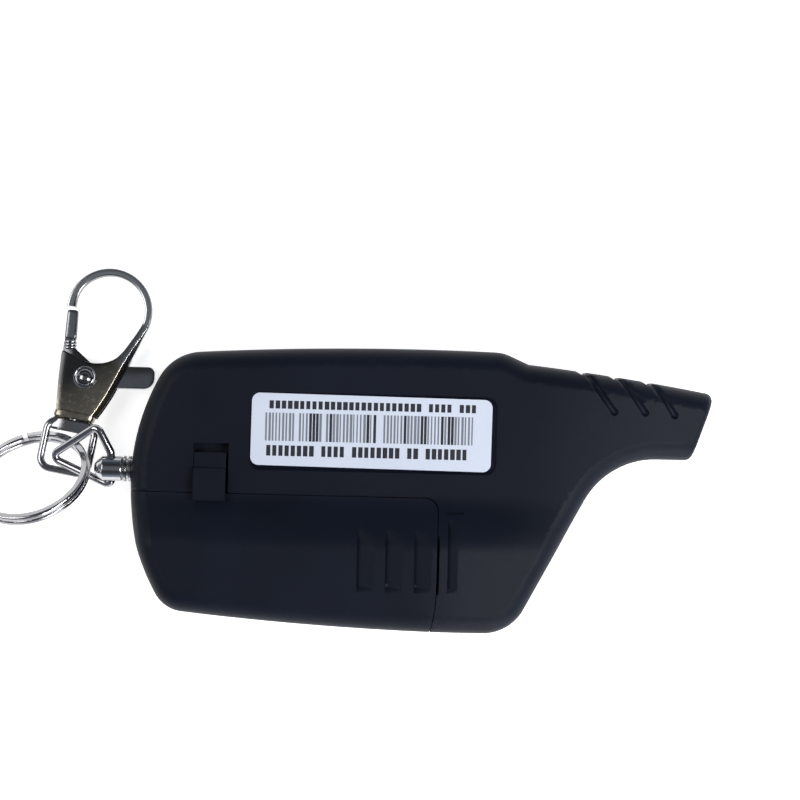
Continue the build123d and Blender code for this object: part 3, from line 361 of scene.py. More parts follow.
def makeButton():
    # Matt rubber with a fine grain; each key carries a small raised bar, paler from handling
    paint = Paint("button")
    mark = 0.0
    halfX, halfY = button["markHalf"]
    for name in buttonNames:
        u, v, size = paint.fromMiddle(name)
        mark = mark + (abs(u) < halfX) * (abs(v) < halfY)
    cloud = paint.noise(button["cloud"], 3.0)
    shade = paint.mix(cloud.ramp(*cloudRange), button["dark"], button["light"])
    shade = paint.mix(mark, shade, button["mark"])
    grain = paint.noise(button["grain"], 2.0) + mark * button["markRise"]
    return paint.finish(Base_Color=shade, Roughness=button["roughness"] + (cloud - 0.5) * 0.15,
                        Normal=paint.bump(grain, button["depth"]))


# One finish for each material slot, and a few more for the dressed pieces. The plain ones are two tones and
# a roughness, and the plain metals one tone and a roughness
finishes = {
    "shell": makeSoftTouch("softTouchHousing", 0),
    "latch": makeSoftTouch("softTouchCover", 37),
    "hardware": makeNickel("nickelPlate"),
    # This darker copy of the nickel is painted shade, and the paler one after it a painted highlight
    "nickelPaintedShade": makeNickel("nickelPaintedShade", 0.15, 0.15),
    "nickelPaintedHighlight": makeNickel("nickelPaintedHighlight", 0.9, 0.05),
    "gateNickel": makeClaspNickel("gateNickel", gateBand),
    # A darker copy of the nickel: painted shade for the lever's top face, which lies in shade
    "leverNickelPaintedShade": makeNickel("leverNickelPaintedShade", 0.1, 0.0, 0.2),
    "claspPlate": makeClaspNickel("claspPlate", hookBand),
    "label": makeLabelFilm(),
    "window": makeWindow(),
    "button": makeButton(),
}
plain = {
    "display": ((0.16, 0.19, 0.15), (0.19, 0.22, 0.17), 0.25),
    "frame": ((0.015, 0.015, 0.016), (0.02, 0.02, 0.022), 0.5),
    "guide": ((0.62, 0.64, 0.6), (0.7, 0.72, 0.68), 0.35),
    "elastomer": ((0.28, 0.12, 0.14), (0.33, 0.15, 0.17), 0.6),
    "board": ((0.01, 0.10, 0.035), (0.014, 0.13, 0.045), 0.35),
    "chip": ((0.014, 0.014, 0.016), (0.02, 0.02, 0.022), 0.45),
    "stem": ((0.5, 0.47, 0.4), (0.56, 0.53, 0.46), 0.45),
    "mount": ((0.018, 0.018, 0.018), (0.024, 0.024, 0.024), 0.7),
    "cell": ((0.02, 0.07, 0.16), (0.03, 0.09, 0.19), 0.3),
}
plainMetal = {
    "tin": (0.62, 0.62, 0.6, 0.3),
    "tungsten": (0.2, 0.2, 0.21, 0.45),
    "copper": (0.7, 0.33, 0.16, 0.3),
    "screw": (0.5, 0.5, 0.5, 0.3),
}
for slotName, (one, two, roughness) in plain.items():
    finishes[slotName] = makePlain(slotName, rgb(*one), rgb(*two), roughness)
for slotName, (red, green, blue, roughness) in plainMetal.items():
    tone = rgb(red, green, blue)
    dim = rgb(0.8 * red, 0.8 * green, 0.8 * blue)
    finishes[slotName] = makePlain(slotName, tone, dim, roughness, 1.2, 0.004, 1.0)


def dress(made, node):
    # The piece joins the scene in the place of a CAD node, on its body
    bpy.context.scene.collection.objects.link(made)
    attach(made, bodyOf[node])
    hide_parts(node)


def addMesh(name, node, parts, material, angle=35):
    # Parts are pairs of points, in millimetres, and faces; they become one mesh, smooth up to the angle
    points, faces, start = [], [], 0
    for block, blockFaces in parts:
        block = np.asarray(block, float).reshape(-1, 3)
        points.append(block)
        faces += [[index + start for index in face] for face in blockFaces]
        start += len(block)
    mesh = bpy.data.meshes.new(name)
    mesh.from_pydata((np.concatenate(points) * mm).tolist(), [], faces)
    outward = bmesh.new()
    outward.from_mesh(mesh)
    bmesh.ops.recalc_face_normals(outward, faces=outward.faces)
    outward.to_mesh(mesh)
    outward.free()
    mesh.polygons.foreach_set("use_smooth", [True] * len(mesh.polygons))
    mesh.set_sharp_from_angle(angle=math.radians(angle))
    mesh.materials.append(material)
    mesh.update()
    dress(bpy.data.objects.new(name, mesh), node)
    print(name, len(mesh.polygons), "faces")


def gridFaces(rows, columns, roundRows=False, roundColumns=False, caps=False):
    # Quads between neighbouring grid points; a row or a column may close on itself, and ends may be capped
    i = np.arange(rows if roundRows else rows - 1)
    j = np.arange(columns if roundColumns else columns - 1)
    i, j = np.meshgrid(i, j, indexing="ij")
    nextI, nextJ = (i + 1) % rows, (j + 1) % columns
    quads = [i * columns + j, i * columns + nextJ, nextI * columns + nextJ, nextI * columns + j]
    faces = np.stack(quads, -1).reshape(-1, 4).tolist()
    if caps:
        faces.append(list(range(columns))[::-1])
        faces.append(list(range((rows - 1) * columns, rows * columns)))
    return faces


# The back's height, as the CAD model has it: a plateau, the battery bulge, the falling nose and the scoops
back = {"plateau": 14.0, "bulge": 4.0, "bulgeEdge": -0.2, "bulgeWidth": 9.0, "fadeStart": 17.0,
        "fadeSoft": 4, "noseStart": 42.0, "noseSlope": 0.157, "noseSoft": 10, "endDrop": 1.0,
        "endStart": -20.0, "endWidth": 14, "scoops": (3.9, 8.4, 13.0), "scoopWidth": 3.3,
        "scoopTop": -5.2, "scoopBottom": -15.9, "scoopDepth": 0.6, "scoopLift": 0.1,
        "scoopEnds": (2.5, 1.2), "mark": 18.3, "markWidth": 1.9, "markTop": -3.3}
# How finely the fields are cut, how near a face lies to one, and how alike smooth neighbours' slopes are
cut = {"longestEdge": 0.9, "rounds": 8, "near": 0.06, "centreNear": 0.3, "slopeStep": 0.05, "alike": 0.94,
       "wallTilt": 0.05, "wallAlike": 0.9}
scoopBoxes = [(x, back["scoopWidth"], back["scoopTop"]) for x in back["scoops"]]
scoopBoxes.append((back["mark"], back["markWidth"], back["markTop"]))
fields = range(len(scoopBoxes) + 1)  # 0 is the back, the others are the scoops


def ease(t):  # smooth step
    t = np.clip(t, 0, 1)
    return t * t * (3 - 2 * t)


def softRamp(t, soft):  # straight ramp whose start is a parabola over the width soft on each side
    return np.where(t < -soft, 0, np.where(t > soft, t, (t + soft) ** 2 / (4 * soft)))


def backHeight(x, y):
    # Plateau + bulge, eased across Y and faded along X, less the nose's slope and the drop at the left end
    noseRun = softRamp(x - back["noseStart"], back["fadeSoft"])
    fadeRun = softRamp(x - back["fadeStart"], back["fadeSoft"]) - noseRun
    fade = 1 - fadeRun / (back["noseStart"] - back["fadeStart"])
    bulge = back["bulge"] * ease((back["bulgeEdge"] - y) / back["bulgeWidth"]) * fade
    slope = back["noseSlope"] * softRamp(x - back["noseStart"], back["noseSoft"])
    drop = back["endDrop"] * ease((back["endStart"] - x) / back["endWidth"])
    return back["plateau"] + bulge - slope - drop


def fieldHeight(which, x, y):
    # Field 0 is the back. The others are the back less a wedge, deepest along its left edge, that fades out
    # at its ends
    if which == 0:
        return backHeight(x, y)
    left, width, top = scoopBoxes[which - 1]
    topEnd, bottomEnd = back["scoopEnds"]
    ends = ease((top - y) / topEnd) * ease((y - back["scoopBottom"]) / bottomEnd)
    reach = back["scoopDepth"] + back["scoopLift"]
    return backHeight(x, y) + back["scoopLift"] - reach * (1 - (x - left) / width) * ends


def fieldSlope(which, x, y):
    # Unit normal (-dz/dx, -dz/dy, 1) from heights a small step to each side
    step = cut["slopeStep"]
    across = (fieldHeight(which, x + step, y) - fieldHeight(which, x - step, y)) / (2 * step)
    along = (fieldHeight(which, x, y + step) - fieldHeight(which, x, y - step)) / (2 * step)
    exact = np.stack([-across, -along, np.ones_like(x)], 1)
    return exact / np.linalg.norm(exact, axis=1)[:, None]


def refineBack(source):
    # Faces that lie on a field are cut until no edge is longer than longestEdge, and set on its height
    layer = source.faces.layers.int.new("field")
    bmesh.ops.triangulate(source, faces=source.faces)
    corner = np.array([[v.co for v in face.verts] for face in source.faces]) / mm
    centre = corner.mean(1)
    up = np.array([face.normal.z for face in source.faces]) > 0.5
    kind = np.zeros(len(up), int)
    for which in fields:
        miss = np.abs(corner[..., 2] - fieldHeight(which, corner[..., 0], corner[..., 1]))
        close = (miss < cut["near"]).all(1)
        close &= np.abs(centre[:, 2] - fieldHeight(which, centre[:, 0], centre[:, 1])) < cut["centreNear"]
        if which:
            left, width, top = scoopBoxes[which - 1]
            close &= (centre[:, 0] > left) & (centre[:, 0] < left + width)
            close &= (centre[:, 1] > back["scoopBottom"]) & (centre[:, 1] < top)
        kind[close & up] = which + 1
    for face, value in zip(source.faces, kind.tolist()):
        face[layer] = value
    for again in range(cut["rounds"]):
        tooLong = [edge for edge in source.edges if edge.calc_length() > cut["longestEdge"] * mm
                   and any(face[layer] for face in edge.link_faces)]
        if not tooLong:
            break
        bmesh.ops.subdivide_edges(source, edges=tooLong, cuts=1)
        bmesh.ops.triangulate(source, faces=[face for face in source.faces if len(face.verts) > 3])
    fieldsAt = {}
    for face in source.faces:
        if face[layer]:
            for vert in face.verts:
                fieldsAt.setdefault(vert, set()).add(face[layer] - 1)
    place = np.array([vert.co for vert in fieldsAt]) / mm
    height = np.full(len(place), np.inf)
    for which in fields:
        held = np.array([which in here for here in fieldsAt.values()])
        height[held] = np.minimum(height[held], fieldHeight(which, place[held, 0], place[held, 1]))
    for vert, z in zip(fieldsAt, height.tolist()):
        vert.co.z = z * mm


def readOut(items, name, width=1, kind=float):  # one value of every item as an array
    values = np.empty(len(items) * width, kind)
    items.foreach_get(name, values)
    return values.reshape(-1, width) if width > 1 else values


def backNormals(mesh):
    # Corners of upright walls take the mean of the upright faces round their point, weighted by area, free
    # of the ledges beside them. A corner of a face on a field takes that field's slope, and so does a
    # smooth neighbour's corner there
    normal = readOut(mesh.corner_normals, "vector", 3)
    owner = readOut(mesh.loops, "vertex_index", kind=int)
    corner = readOut(mesh.vertices, "co", 3)[owner] / mm
    size = readOut(mesh.polygons, "loop_total", kind=int)
    kind = np.repeat(readOut(mesh.attributes["field"].data, "value", kind=int), size)
    wall = readOut(mesh.polygons, "normal", 3)
    extent = readOut(mesh.polygons, "area") * (np.abs(wall[:, 2]) < cut["wallTilt"])
    wall, extent = np.repeat(wall, size, 0), np.repeat(extent, size)
    mean = [np.bincount(owner, wall[:, axis] * extent, len(mesh.vertices)) for axis in range(3)]
    mean = np.stack(mean, 1)[owner]
    mean /= np.maximum(np.linalg.norm(mean, axis=1), 1e-12)[:, None]
    upright = (extent > 0) & ((mean * wall).sum(1) > cut["wallAlike"])
    normal[upright] = mean[upright]
    for which in fields:
        exact = fieldSlope(which, corner[:, 0], corner[:, 1])
        ownFace = kind == which + 1
        touched = np.zeros(len(mesh.vertices), bool)
        touched[owner[ownFace]] = True
        neighbour = (kind == 0) & touched[owner] & ((exact * normal).sum(1) > cut["alike"])
        normal[ownFace | neighbour] = exact[ownFace | neighbour]
    mesh.normals_split_custom_set(normal.tolist())


# Points nearer than merge, in metres, are joined, and faces flatter than flat become one before a bevel
smooth = {"angle": 32, "merge": 1e-6, "flat": 0.2, "segments": 2}


def smoothCopy(node, material, bevel=0.0, crowned=False):
    # The CAD node's own surface with its triangles joined, smoothed up to an angle, and its edges eased
    angle = math.radians(smooth["angle"])
    source = bmesh.new()
    source.from_mesh(nodes[node].data)
    bmesh.ops.remove_doubles(source, verts=source.verts, dist=smooth["merge"])
    if crowned:
        source.normal_update()
        refineBack(source)
    elif bevel:
        bmesh.ops.dissolve_limit(source, angle_limit=math.radians(smooth["flat"]), verts=source.verts,
                                 edges=source.edges)
    mesh = bpy.data.meshes.new(node + "_dressed")
    source.to_mesh(mesh)
    source.free()
    mesh.materials.clear()
    mesh.materials.append(material)
    mesh.polygons.foreach_set("use_smooth", [True] * len(mesh.polygons))
    mesh.set_sharp_from_angle(angle=angle)
    made = bpy.data.objects.new(node + "_dressed", mesh)
    if bevel:
        edge = made.modifiers.new("edge", "BEVEL")
        edge.width = bevel * mm
        edge.segments = smooth["segments"]
        edge.limit_method = "ANGLE"
        edge.angle_limit = angle
    if crowned:
        backNormals(mesh)
    else:
        weigh = made.modifiers.new("weigh", "WEIGHTED_NORMAL")
        weigh.keep_sharp = True
    dress(made, node)
    print(node, len(mesh.polygons), "faces")


print("CAD nodes")
for name, node in nodes.items():
    node.data.materials.clear()
    node.data.materials.append(finishes[slotOf[name]])

print("housing")
smoothCopy("front_shell", finishes["shell"])
smoothCopy("rear_shell", finishes["shell"], crowned=True)
smoothCopy("battery_cover", finishes["latch"], crowned=True)
smoothCopy("cover_latch", finishes["latch"])

print("front side")
for name in buttonNames:
    smoothCopy(name, finishes["button"], 0.35)
smoothCopy("display_window", finishes["window"], 0.12)

print("stud, link and ring")
# The stud takes the paler copy of the nickel, a painted highlight
smoothCopy("swivel_stud", finishes["nickelPaintedHighlight"], 0.08)
for name in ("stud_bush", "connecting_link", "split_ring"):
    smoothCopy(name, finishes["hardware"], 0.08)


def onClasp(flat, out=0.0):
    # (across, along) in the clasp's own plane, and a height out of it, to the CAD frame
    flat = np.asarray(flat, float)
    out = np.broadcast_to(np.asarray(out, float), flat.shape[:-1])
    return claspBase + np.concatenate([flat, out[..., None]], -1) @ claspFrame


def throughKeys(keys, steps):
    # Catmull-Rom curve through the rows of keys, all columns at once
    keys = np.asarray(keys, float)
    padded = np.concatenate([2 * keys[:1] - keys[1:2], keys, 2 * keys[-1:] - keys[-2:-1]])
    t = (np.arange(steps) / steps)[None, :, None]
    p0, p1, p2, p3 = (padded[i:len(keys) - 1 + i, None] for i in range(4))
    run = 0.5 * (2 * p1 + (p2 - p0) * t + (2 * p0 - 5 * p1 + 4 * p2 - p3) * t ** 2
                 + (3 * p1 - p0 - 3 * p2 + p3) * t ** 3)
    return np.concatenate([run.reshape(-1, keys.shape[1]), keys[-1:]])


def slab(outline, half, bevel):
    # A closed flat outline as five rings from -half to half, drawn in by the bevel at both ends, which are
    # closed: the lower bevel is straight and the upper one has two steps
    outline = np.asarray(outline, float)
    tangent = np.roll(outline, -1, 0) - np.roll(outline, 1, 0)
    tangent /= np.linalg.norm(tangent, axis=1)[:, None]
    (x, y), (nextX, nextY) = outline.T, np.roll(outline, -1, 0).T
    inward = np.stack([-tangent[:, 1], tangent[:, 0]], 1) * np.sign((x * nextY - y * nextX).sum())
    rings = [(-half, bevel), (-half + bevel, 0.0), (half - 0.7 * bevel, 0.0),
             (half - 0.2 * bevel, 0.45 * bevel), (half, bevel)]
    points = np.stack([onClasp(outline + inward * inset, out) for out, inset in rings])
    return points, gridFaces(len(rings), len(outline), roundColumns=True, caps=True)


def superellipse(halfWide, halfOut, sides, power=2.0):
    # Cosine and sine of the turn, each to the 2 / power: 2 is an ellipse, and more squares its shoulders
    turn = np.linspace(0, 2 * np.pi, sides, endpoint=False)
    wave = np.stack([np.cos(turn), np.sin(turn)], 1)
    return np.sign(wave) * np.abs(wave) ** (2 / power) * (halfWide, halfOut)


def stacked(outline, stations):
    # A closed (across, out) outline, scaled and shifted across at each station (along, scale, shift)
    across, out = np.asarray(outline, float).T
    rings = []
    for along, scale, shift in stations:
        flat = np.stack([across * scale + shift, np.full_like(across, along)], 1)
        rings.append(onClasp(flat, out * scale))
    return np.stack(rings), gridFaces(len(rings), len(across), roundColumns=True, caps=True)


def closedWire(path, up, radius, sides):
    # A circle carried round a closed path: path + radius * (cos * side + sin * top), where side is the
    # tangent x up and top is side x tangent
    tangent = np.roll(path, -1, 0) - np.roll(path, 1, 0)
    tangent /= np.linalg.norm(tangent, axis=1)[:, None]
    side = np.cross(tangent, up)
    side /= np.linalg.norm(side, axis=1)[:, None]
    top = np.cross(side, tangent)
    across, high = superellipse(radius, radius, sides).T[..., None]
    points = path[:, None] + side[:, None] * across + top[:, None] * high
    return points, gridFaces(len(path), sides, roundRows=True, roundColumns=True)


print("clasp body")
# Keys are the cheek's left and right edges, each (across, along), up the plate, along the saddle and into
# the hook. The section's sizes have one value for plateKeys, one for each later key and one for the arc
clasp = {"keys": [(-2.95, -1.0, 3.75, -1.1), (-3.15, 0.8, 4.4, 0.3), (-3.42, 2.9, 4.94, 1.6),
                  (-3.65, 5.0, 5.42, 2.8), (-3.82, 6.9, 5.75, 3.8), (-3.93, 8.2, 5.93, 4.4),
                  (-3.8, 8.7, 6.0, 4.65), (-3.0, 8.6, 6.1, 4.95), (-1.8, 8.15, 6.2, 5.3),
                  (-0.6, 7.8, 6.31, 5.65), (0.7, 7.62, 6.42, 6.0), (1.95, 7.7, 6.52, 6.35),
                  (3.3, 8.07, 6.63, 6.75), (4.4, 8.7, 6.81, 7.35), (5.05, 9.3, 7.02, 8.1),
                  (5.7, 10.3, 7.37, 9.36), (6.3, 11.5, 7.75, 10.68), (6.85, 12.8, 8.14, 12.08),
                  (7.35, 13.95, 8.48, 13.31)],
         "plateKeys": 14, "steps": 7,
         "top": (1.9, 1.85, 1.7, 1.5, 1.3, 1.15, 1.0),
         "low": (0.87, 0.6, 0.1, -0.5, -0.85, -0.9, -0.9),
         "rightBevel": (0.9, 0.85, 0.75, 0.65, 0.5, 0.3, 0.16),
         "rightDrop": (0.8, 0.8, 0.8, 0.7, 0.6, 0.35, 0.2),
         "leftBevel": (0.2, 0.2, 0.2, 0.19, 0.18, 0.17, 0.16),
         "leftDrop": (0.14, 0.16, 0.18, 0.2, 0.2, 0.2, 0.2),
         "crown": (0.05, 0.05, 0.05, 0.04, 0.04, 0.03, 0.03), "crownPoints": 9, "rim": 0.12}
hook = {"centre": (2.2, 16.7), "outer": 7.0, "inner": 5.82, "start": -12.0, "end": 184.6, "keys": 22,
        "tip": 0.28, "tipTurn": 0.7}  # the inner edge draws in by tip over the last tipTurn radians
backCheekFit = {"top": 0.85, "inset": 0.25, "leftDrop": 0.3, "keys": 4}
claspRoot = {"outline": [(-2.8, -0.95), (3.3, -0.95), (4.0, 1.5), (-3.0, 1.5)], "half": 0.95, "bevel": 0.05}
collar = {"half": (3.35, 2.06), "power": 5.0, "sides": 44,
          "stations": ((-0.75, 0.93, 0.25), (-0.83, 0.99, 0.22), (-0.95, 1.0, 0.2), (-1.7, 1.0, 0.1),
                       (-1.86, 0.98, 0.08), (-1.95, 0.9, 0.05))}


def claspRows():
    # Keys of the cheek followed by keys of the hook's arc: left x, y, right x, y, and seven section sizes
    names = ("top", "low", "rightBevel", "rightDrop", "leftBevel", "leftDrop", "crown")
    rows = []
    for index, edges in enumerate(clasp["keys"]):
        step = max(0, index - clasp["plateKeys"] + 1)
        rows.append(list(edges) + [clasp[name][step] for name in names])
    turn = np.radians(np.linspace(hook["start"], hook["end"], hook["keys"]))
    inner = hook["inner"] - hook["tip"] * ease((turn - turn[-1]) / hook["tipTurn"] + 1)
    centre = np.array(hook["centre"])
    aim = np.stack([np.cos(turn), np.sin(turn)], 1)
    section = np.tile([clasp[name][-1] for name in names], (len(turn), 1))
    arc = np.concatenate([centre + aim * inner[:, None], centre + aim * hook["outer"], section], 1)
    return throughKeys(np.concatenate([rows, arc]), clasp["steps"])


def cheek(rows, side):
    # Each row is a closed section from the left edge over the crowned face to the wide right bevel and back
    # under: offset is the distance from the left edge, height the distance from the clasp's middle plane
    left, right = rows[:, None, 0:2], rows[:, None, 2:4]
    top, low, rightBevel, rightDrop, leftBevel, leftDrop, crown = rows[:, 4:].T[:, :, None]
    width = np.linalg.norm(right - left, axis=2)
    share = np.linspace(0, 1, clasp["crownPoints"])[None]
    face = leftBevel + (width - leftBevel - rightBevel) * share
    rim = clasp["rim"] * np.ones_like(width)
    offset = np.concatenate([0 * width, 0 * width, 0.3 * leftBevel, face, width - 0.9 * rightBevel,
                             width - 0.78 * rightBevel, width, width, width - rim, 0.5 * width, rim], 1)
    height = np.concatenate([low + rim, top - leftDrop, top - 0.35 * leftDrop,
                             top + crown * (1 - (2 * share - 1) ** 2), top - 0.04 * rightDrop,
                             top - 0.16 * rightDrop, top - rightDrop, low + rim, low, low, low], 1)
    flat = left + (right - left) * (offset / width)[..., None]
    return onClasp(flat, side * height), gridFaces(len(rows), offset.shape[1], roundColumns=True, caps=True)


# The back cheek ends where the hook's arc starts, and draws in behind the front one over its last keys
rows = claspRows()
backRows = rows[:(len(clasp["keys"]) - 1) * clasp["steps"] + 1].copy()
hidden = ease((np.arange(len(backRows)) / clasp["steps"] - clasp["plateKeys"]) / backCheekFit["keys"])
backRows[:, 4] += (backCheekFit["top"] - backRows[:, 4]) * hidden
backRows[:, 0] += backCheekFit["inset"] * hidden
backRows[:, 2] -= backCheekFit["inset"] * hidden
backRows[:, 5] = np.maximum(backRows[:, 5], backCheekFit["leftDrop"])
rootPart = slab(claspRoot["outline"], claspRoot["half"], claspRoot["bevel"])
collarPart = stacked(superellipse(*collar["half"], collar["sides"], collar["power"]), collar["stations"])
addMesh("claspBody", "clasp_body", [cheek(rows, 1), cheek(backRows, -1), rootPart, collarPart],
        finishes["claspPlate"])

print("gate, lever and spring")
# The barrel runs from foot to tip, and swell scales it at each share of its length. The spring's turns are
# rings round the foot, and their phase is in radians
gate = {"foot": (-3.1, 10.75), "tip": (-3.68, 15.7), "footHalf": 1.0, "tipHalf": 0.9, "halfOut": 1.0,
        "share": (0.0, 0.03, 0.09, 0.2, 0.35, 0.5, 0.65, 0.8, 0.9, 0.955, 0.985, 1.0),
        "swell": (0.72, 0.9, 1.0, 1.0, 1.0, 1.0, 1.0, 1.0, 1.0, 0.98, 0.88, 0.7), "sides": 28, "power": 5.0}
gateRoot = {"outline": [(-3.95, 9.2), (-4.0, 10.9), (-2.25, 10.9), (-2.1, 9.6), (1.6, 7.3), (2.6, 3.4),
                        (-0.8, 3.0), (-3.2, 6.4)], "half": 0.7, "bevel": 0.08}
spring = {"turns": (9.35, 9.85, 10.35), "radius": (0.9, 0.86), "wire": 0.24, "rise": 0.16, "phase": 0.6,
          "points": 36, "sides": 12}
lever = {"centre": (6.395, 6.35), "half": 5.355, "halfWide": 1.8, "rootCut": 1.2, "lowCorner": 1.8,
         "topCorner": 1.0, "points": (14, 10), "out": 0.75, "bevel": 0.16}
foot, tip = np.array(gate["foot"]), np.array(gate["tip"])
gateAim = (tip - foot) / np.linalg.norm(tip - foot)
gateSide = np.array([gateAim[1], -gateAim[0]])


def gateBarrel():
    # Middle line from foot to tip, and round it a squared superellipse times the swell
    share, swell = np.array(gate["share"])[:, None], np.array(gate["swell"])[:, None]
    half = (gate["footHalf"] + (gate["tipHalf"] - gate["footHalf"]) * share) * swell
    across, out = superellipse(1.0, 1.0, gate["sides"], gate["power"]).T
    flat = (foot + (tip - foot) * share)[:, None] + gateSide * (half * across)[..., None]
    points = onClasp(flat, (gate["halfOut"] * swell) * out)
    return points, gridFaces(len(share), gate["sides"], roundColumns=True, caps=True)


def springTurn(height):
    # A leaning ring round the gate's line: cosine across it, sine out of the plane, a late sine along it
    circle = np.linspace(0, 2 * np.pi, spring["points"], endpoint=False)
    middle = foot + gateAim * (height - foot[1])
    wide, out = spring["radius"]
    ring = middle + np.outer(np.cos(circle), gateSide) * wide
    ring = ring + np.outer(np.sin(circle + spring["phase"]), gateAim) * spring["rise"]
    return closedWire(onClasp(ring, out * np.sin(circle)), claspAlong, spring["wire"], spring["sides"])


def leverBlade():
    # A bar along the remote's own X: square where it enters the plate, two rounded corners at its far end
    lean = math.asin(-claspFrame[0][1])
    turned = np.array([[math.cos(lean), math.sin(lean)], [-math.sin(lean), math.cos(lean)]])
    low = np.radians(np.linspace(-90, 0, lever["points"][0]))
    high = np.radians(np.linspace(0, 90, lever["points"][1]))
    end, wide = lever["half"], lever["halfWide"]
    lowRound, topRound = lever["lowCorner"], lever["topCorner"]
    outline = [[(-end + lever["rootCut"], -wide)],
               np.stack([end - lowRound + lowRound * np.cos(low),
                         lowRound * np.sin(low) - wide + lowRound], 1),
               np.stack([end - topRound * (1 - np.cos(high)), wide - topRound * (1 - np.sin(high))], 1),
               [(-end + lever["rootCut"], wide)]]
    placed = np.array(lever["centre"]) + np.concatenate(outline) @ turned
    return slab(placed, lever["out"], lever["bevel"])


rootPart = slab(gateRoot["outline"], gateRoot["half"], gateRoot["bevel"])
addMesh("claspGate", "clasp_gate", [gateBarrel(), rootPart], finishes["gateNickel"])
addMesh("claspLever", "clasp_gate", [leverBlade()], finishes["leverNickelPaintedShade"])
springTurns = [springTurn(height) for height in spring["turns"]]
# The spring takes the paler copy of the nickel, a painted highlight
addMesh("gateSpring", "clasp_gate", springTurns, finishes["nickelPaintedHighlight"])

print("rivet")
# Head on both cheeks: a flange with a raised rim, an inner ring and a low dome, as (radius, out)
rivet = {"place": (0.64, 5.03), "sides": 48,
         "profile": [(0.0, 2.3), (0.4, 2.27), (0.75, 2.17), (0.92, 2.02), (1.0, 1.98), (1.08, 2.08),
                     (1.18, 2.2), (1.27, 2.14), (1.36, 2.02), (1.55, 1.99), (1.66, 2.04), (1.76, 2.12),
                     (1.86, 2.06), (1.9, 1.92), (1.9, 1.8)]}


def rivetHead(side):
    # The profile carried round the hinge line, radius * (cos, sin); the middle is one closed pole
    profile, place, count = np.array(rivet["profile"]), np.array(rivet["place"]), rivet["sides"]
    angle = np.linspace(0, 2 * np.pi, count, endpoint=False)
    ring = profile[1:, :1, None] * np.stack([np.cos(angle), np.sin(angle)])[None]
    points = onClasp(place + ring.transpose(0, 2, 1), side * profile[1:, 1:])
    pole = onClasp(place, side * profile[0, 1])
    rings = len(profile) - 1
    faces = gridFaces(rings, count, roundColumns=True)
    faces += [[(i + 1) % count, i, count * rings] for i in range(count)]
    faces.append(list(range(count * (rings - 1), count * rings)))
    return np.concatenate([points.reshape(-1, 3), pole[None]]), faces


# The rivet takes the darker copy of the nickel, painted shade
addMesh("claspRivet", "clasp_rivet", [rivetHead(1), rivetHead(-1)], finishes["nickelPaintedShade"], 50)

print("knob and eye")
# Faceted knob over the eye's wire, the pin that it turns on, and the wire itself
knob = {"outline": [(3.45, -0.2), (3.45, 0.3), (3.1, 0.88), (1.3, 0.94), (-0.5, 1.0), (-2.2, 0.72),
                    (-3.45, 0.2), (-3.45, -0.3), (-3.1, -0.88), (-1.3, -0.94), (0.5, -1.0), (2.2, -0.72)],
        "stations": ((-2.05, 0.86, 0.0), (-2.16, 0.95, 0.0), (-2.35, 1.0, 0.0), (-3.7, 1.02, 0.0),
                     (-3.95, 0.97, 0.0), (-4.1, 0.86, 0.0))}
pin = {"radius": 0.9, "sides": 24, "stations": ((-2.3, 1.0, 0.0), (-1.6, 1.0, 0.0), (-0.6, 1.0, 0.0))}
eyeWire = {"half": 3.95, "near": 2.4, "far": 10.53, "radius": 0.65, "corner": 1.8, "sides": 20}


def roundedPath(corners, radius, perCorner=10, perRun=12):
    # Closed polygon with an arc at each corner: centre + (sin(left) * start + sin(done) * end) / sin(whole)
    # where left and done are what remains and what is passed of the whole angle
    corners = np.asarray(corners, float)
    runs = []
    for before, corner, after in zip(np.roll(corners, 1, 0), corners, np.roll(corners, -1, 0)):
        toBefore = (before - corner) / np.linalg.norm(before - corner)
        toAfter = (after - corner) / np.linalg.norm(after - corner)
        half = math.acos(float(np.clip(toBefore @ toAfter, -1, 1))) / 2
        inward = (toBefore + toAfter) / np.linalg.norm(toBefore + toAfter)
        centre = corner + inward * radius / math.sin(half)
        start = corner + toBefore * radius / math.tan(half) - centre
        end = corner + toAfter * radius / math.tan(half) - centre
        whole = math.acos(float(np.clip(start @ end / radius ** 2, -1, 1)))
        done = np.linspace(0, 1, perCorner)[:, None]
        arc = np.sin((1 - done) * whole) * start + np.sin(done * whole) * end
        runs.append(centre + arc / math.sin(whole))
    joined = []
    for arc, following in zip(runs, runs[1:] + runs[:1]):
        share = np.linspace(0, 1, perRun + 2)[1:-1, None]
        joined += [arc, arc[-1] + (following[0] - arc[-1]) * share]
    return np.concatenate(joined)


half, near, far = eyeWire["half"], -eyeWire["near"], -eyeWire["far"]
eyePath = roundedPath([(half, near), (half, far), (-half, far), (-half, near)], eyeWire["corner"])
wirePart = closedWire(onClasp(eyePath), claspOut, eyeWire["radius"], eyeWire["sides"])
knobPart = stacked(knob["outline"], knob["stations"])
pinPart = stacked(superellipse(pin["radius"], pin["radius"], pin["sides"]), pin["stations"])
# The knob takes the darker copy of the nickel, painted shade
addMesh("claspKnob", "clasp_eye", [knobPart, pinPart], finishes["nickelPaintedShade"], 12)
addMesh("claspEye", "clasp_eye", [wirePart], finishes["hardware"])

print("camera, floor and lights")
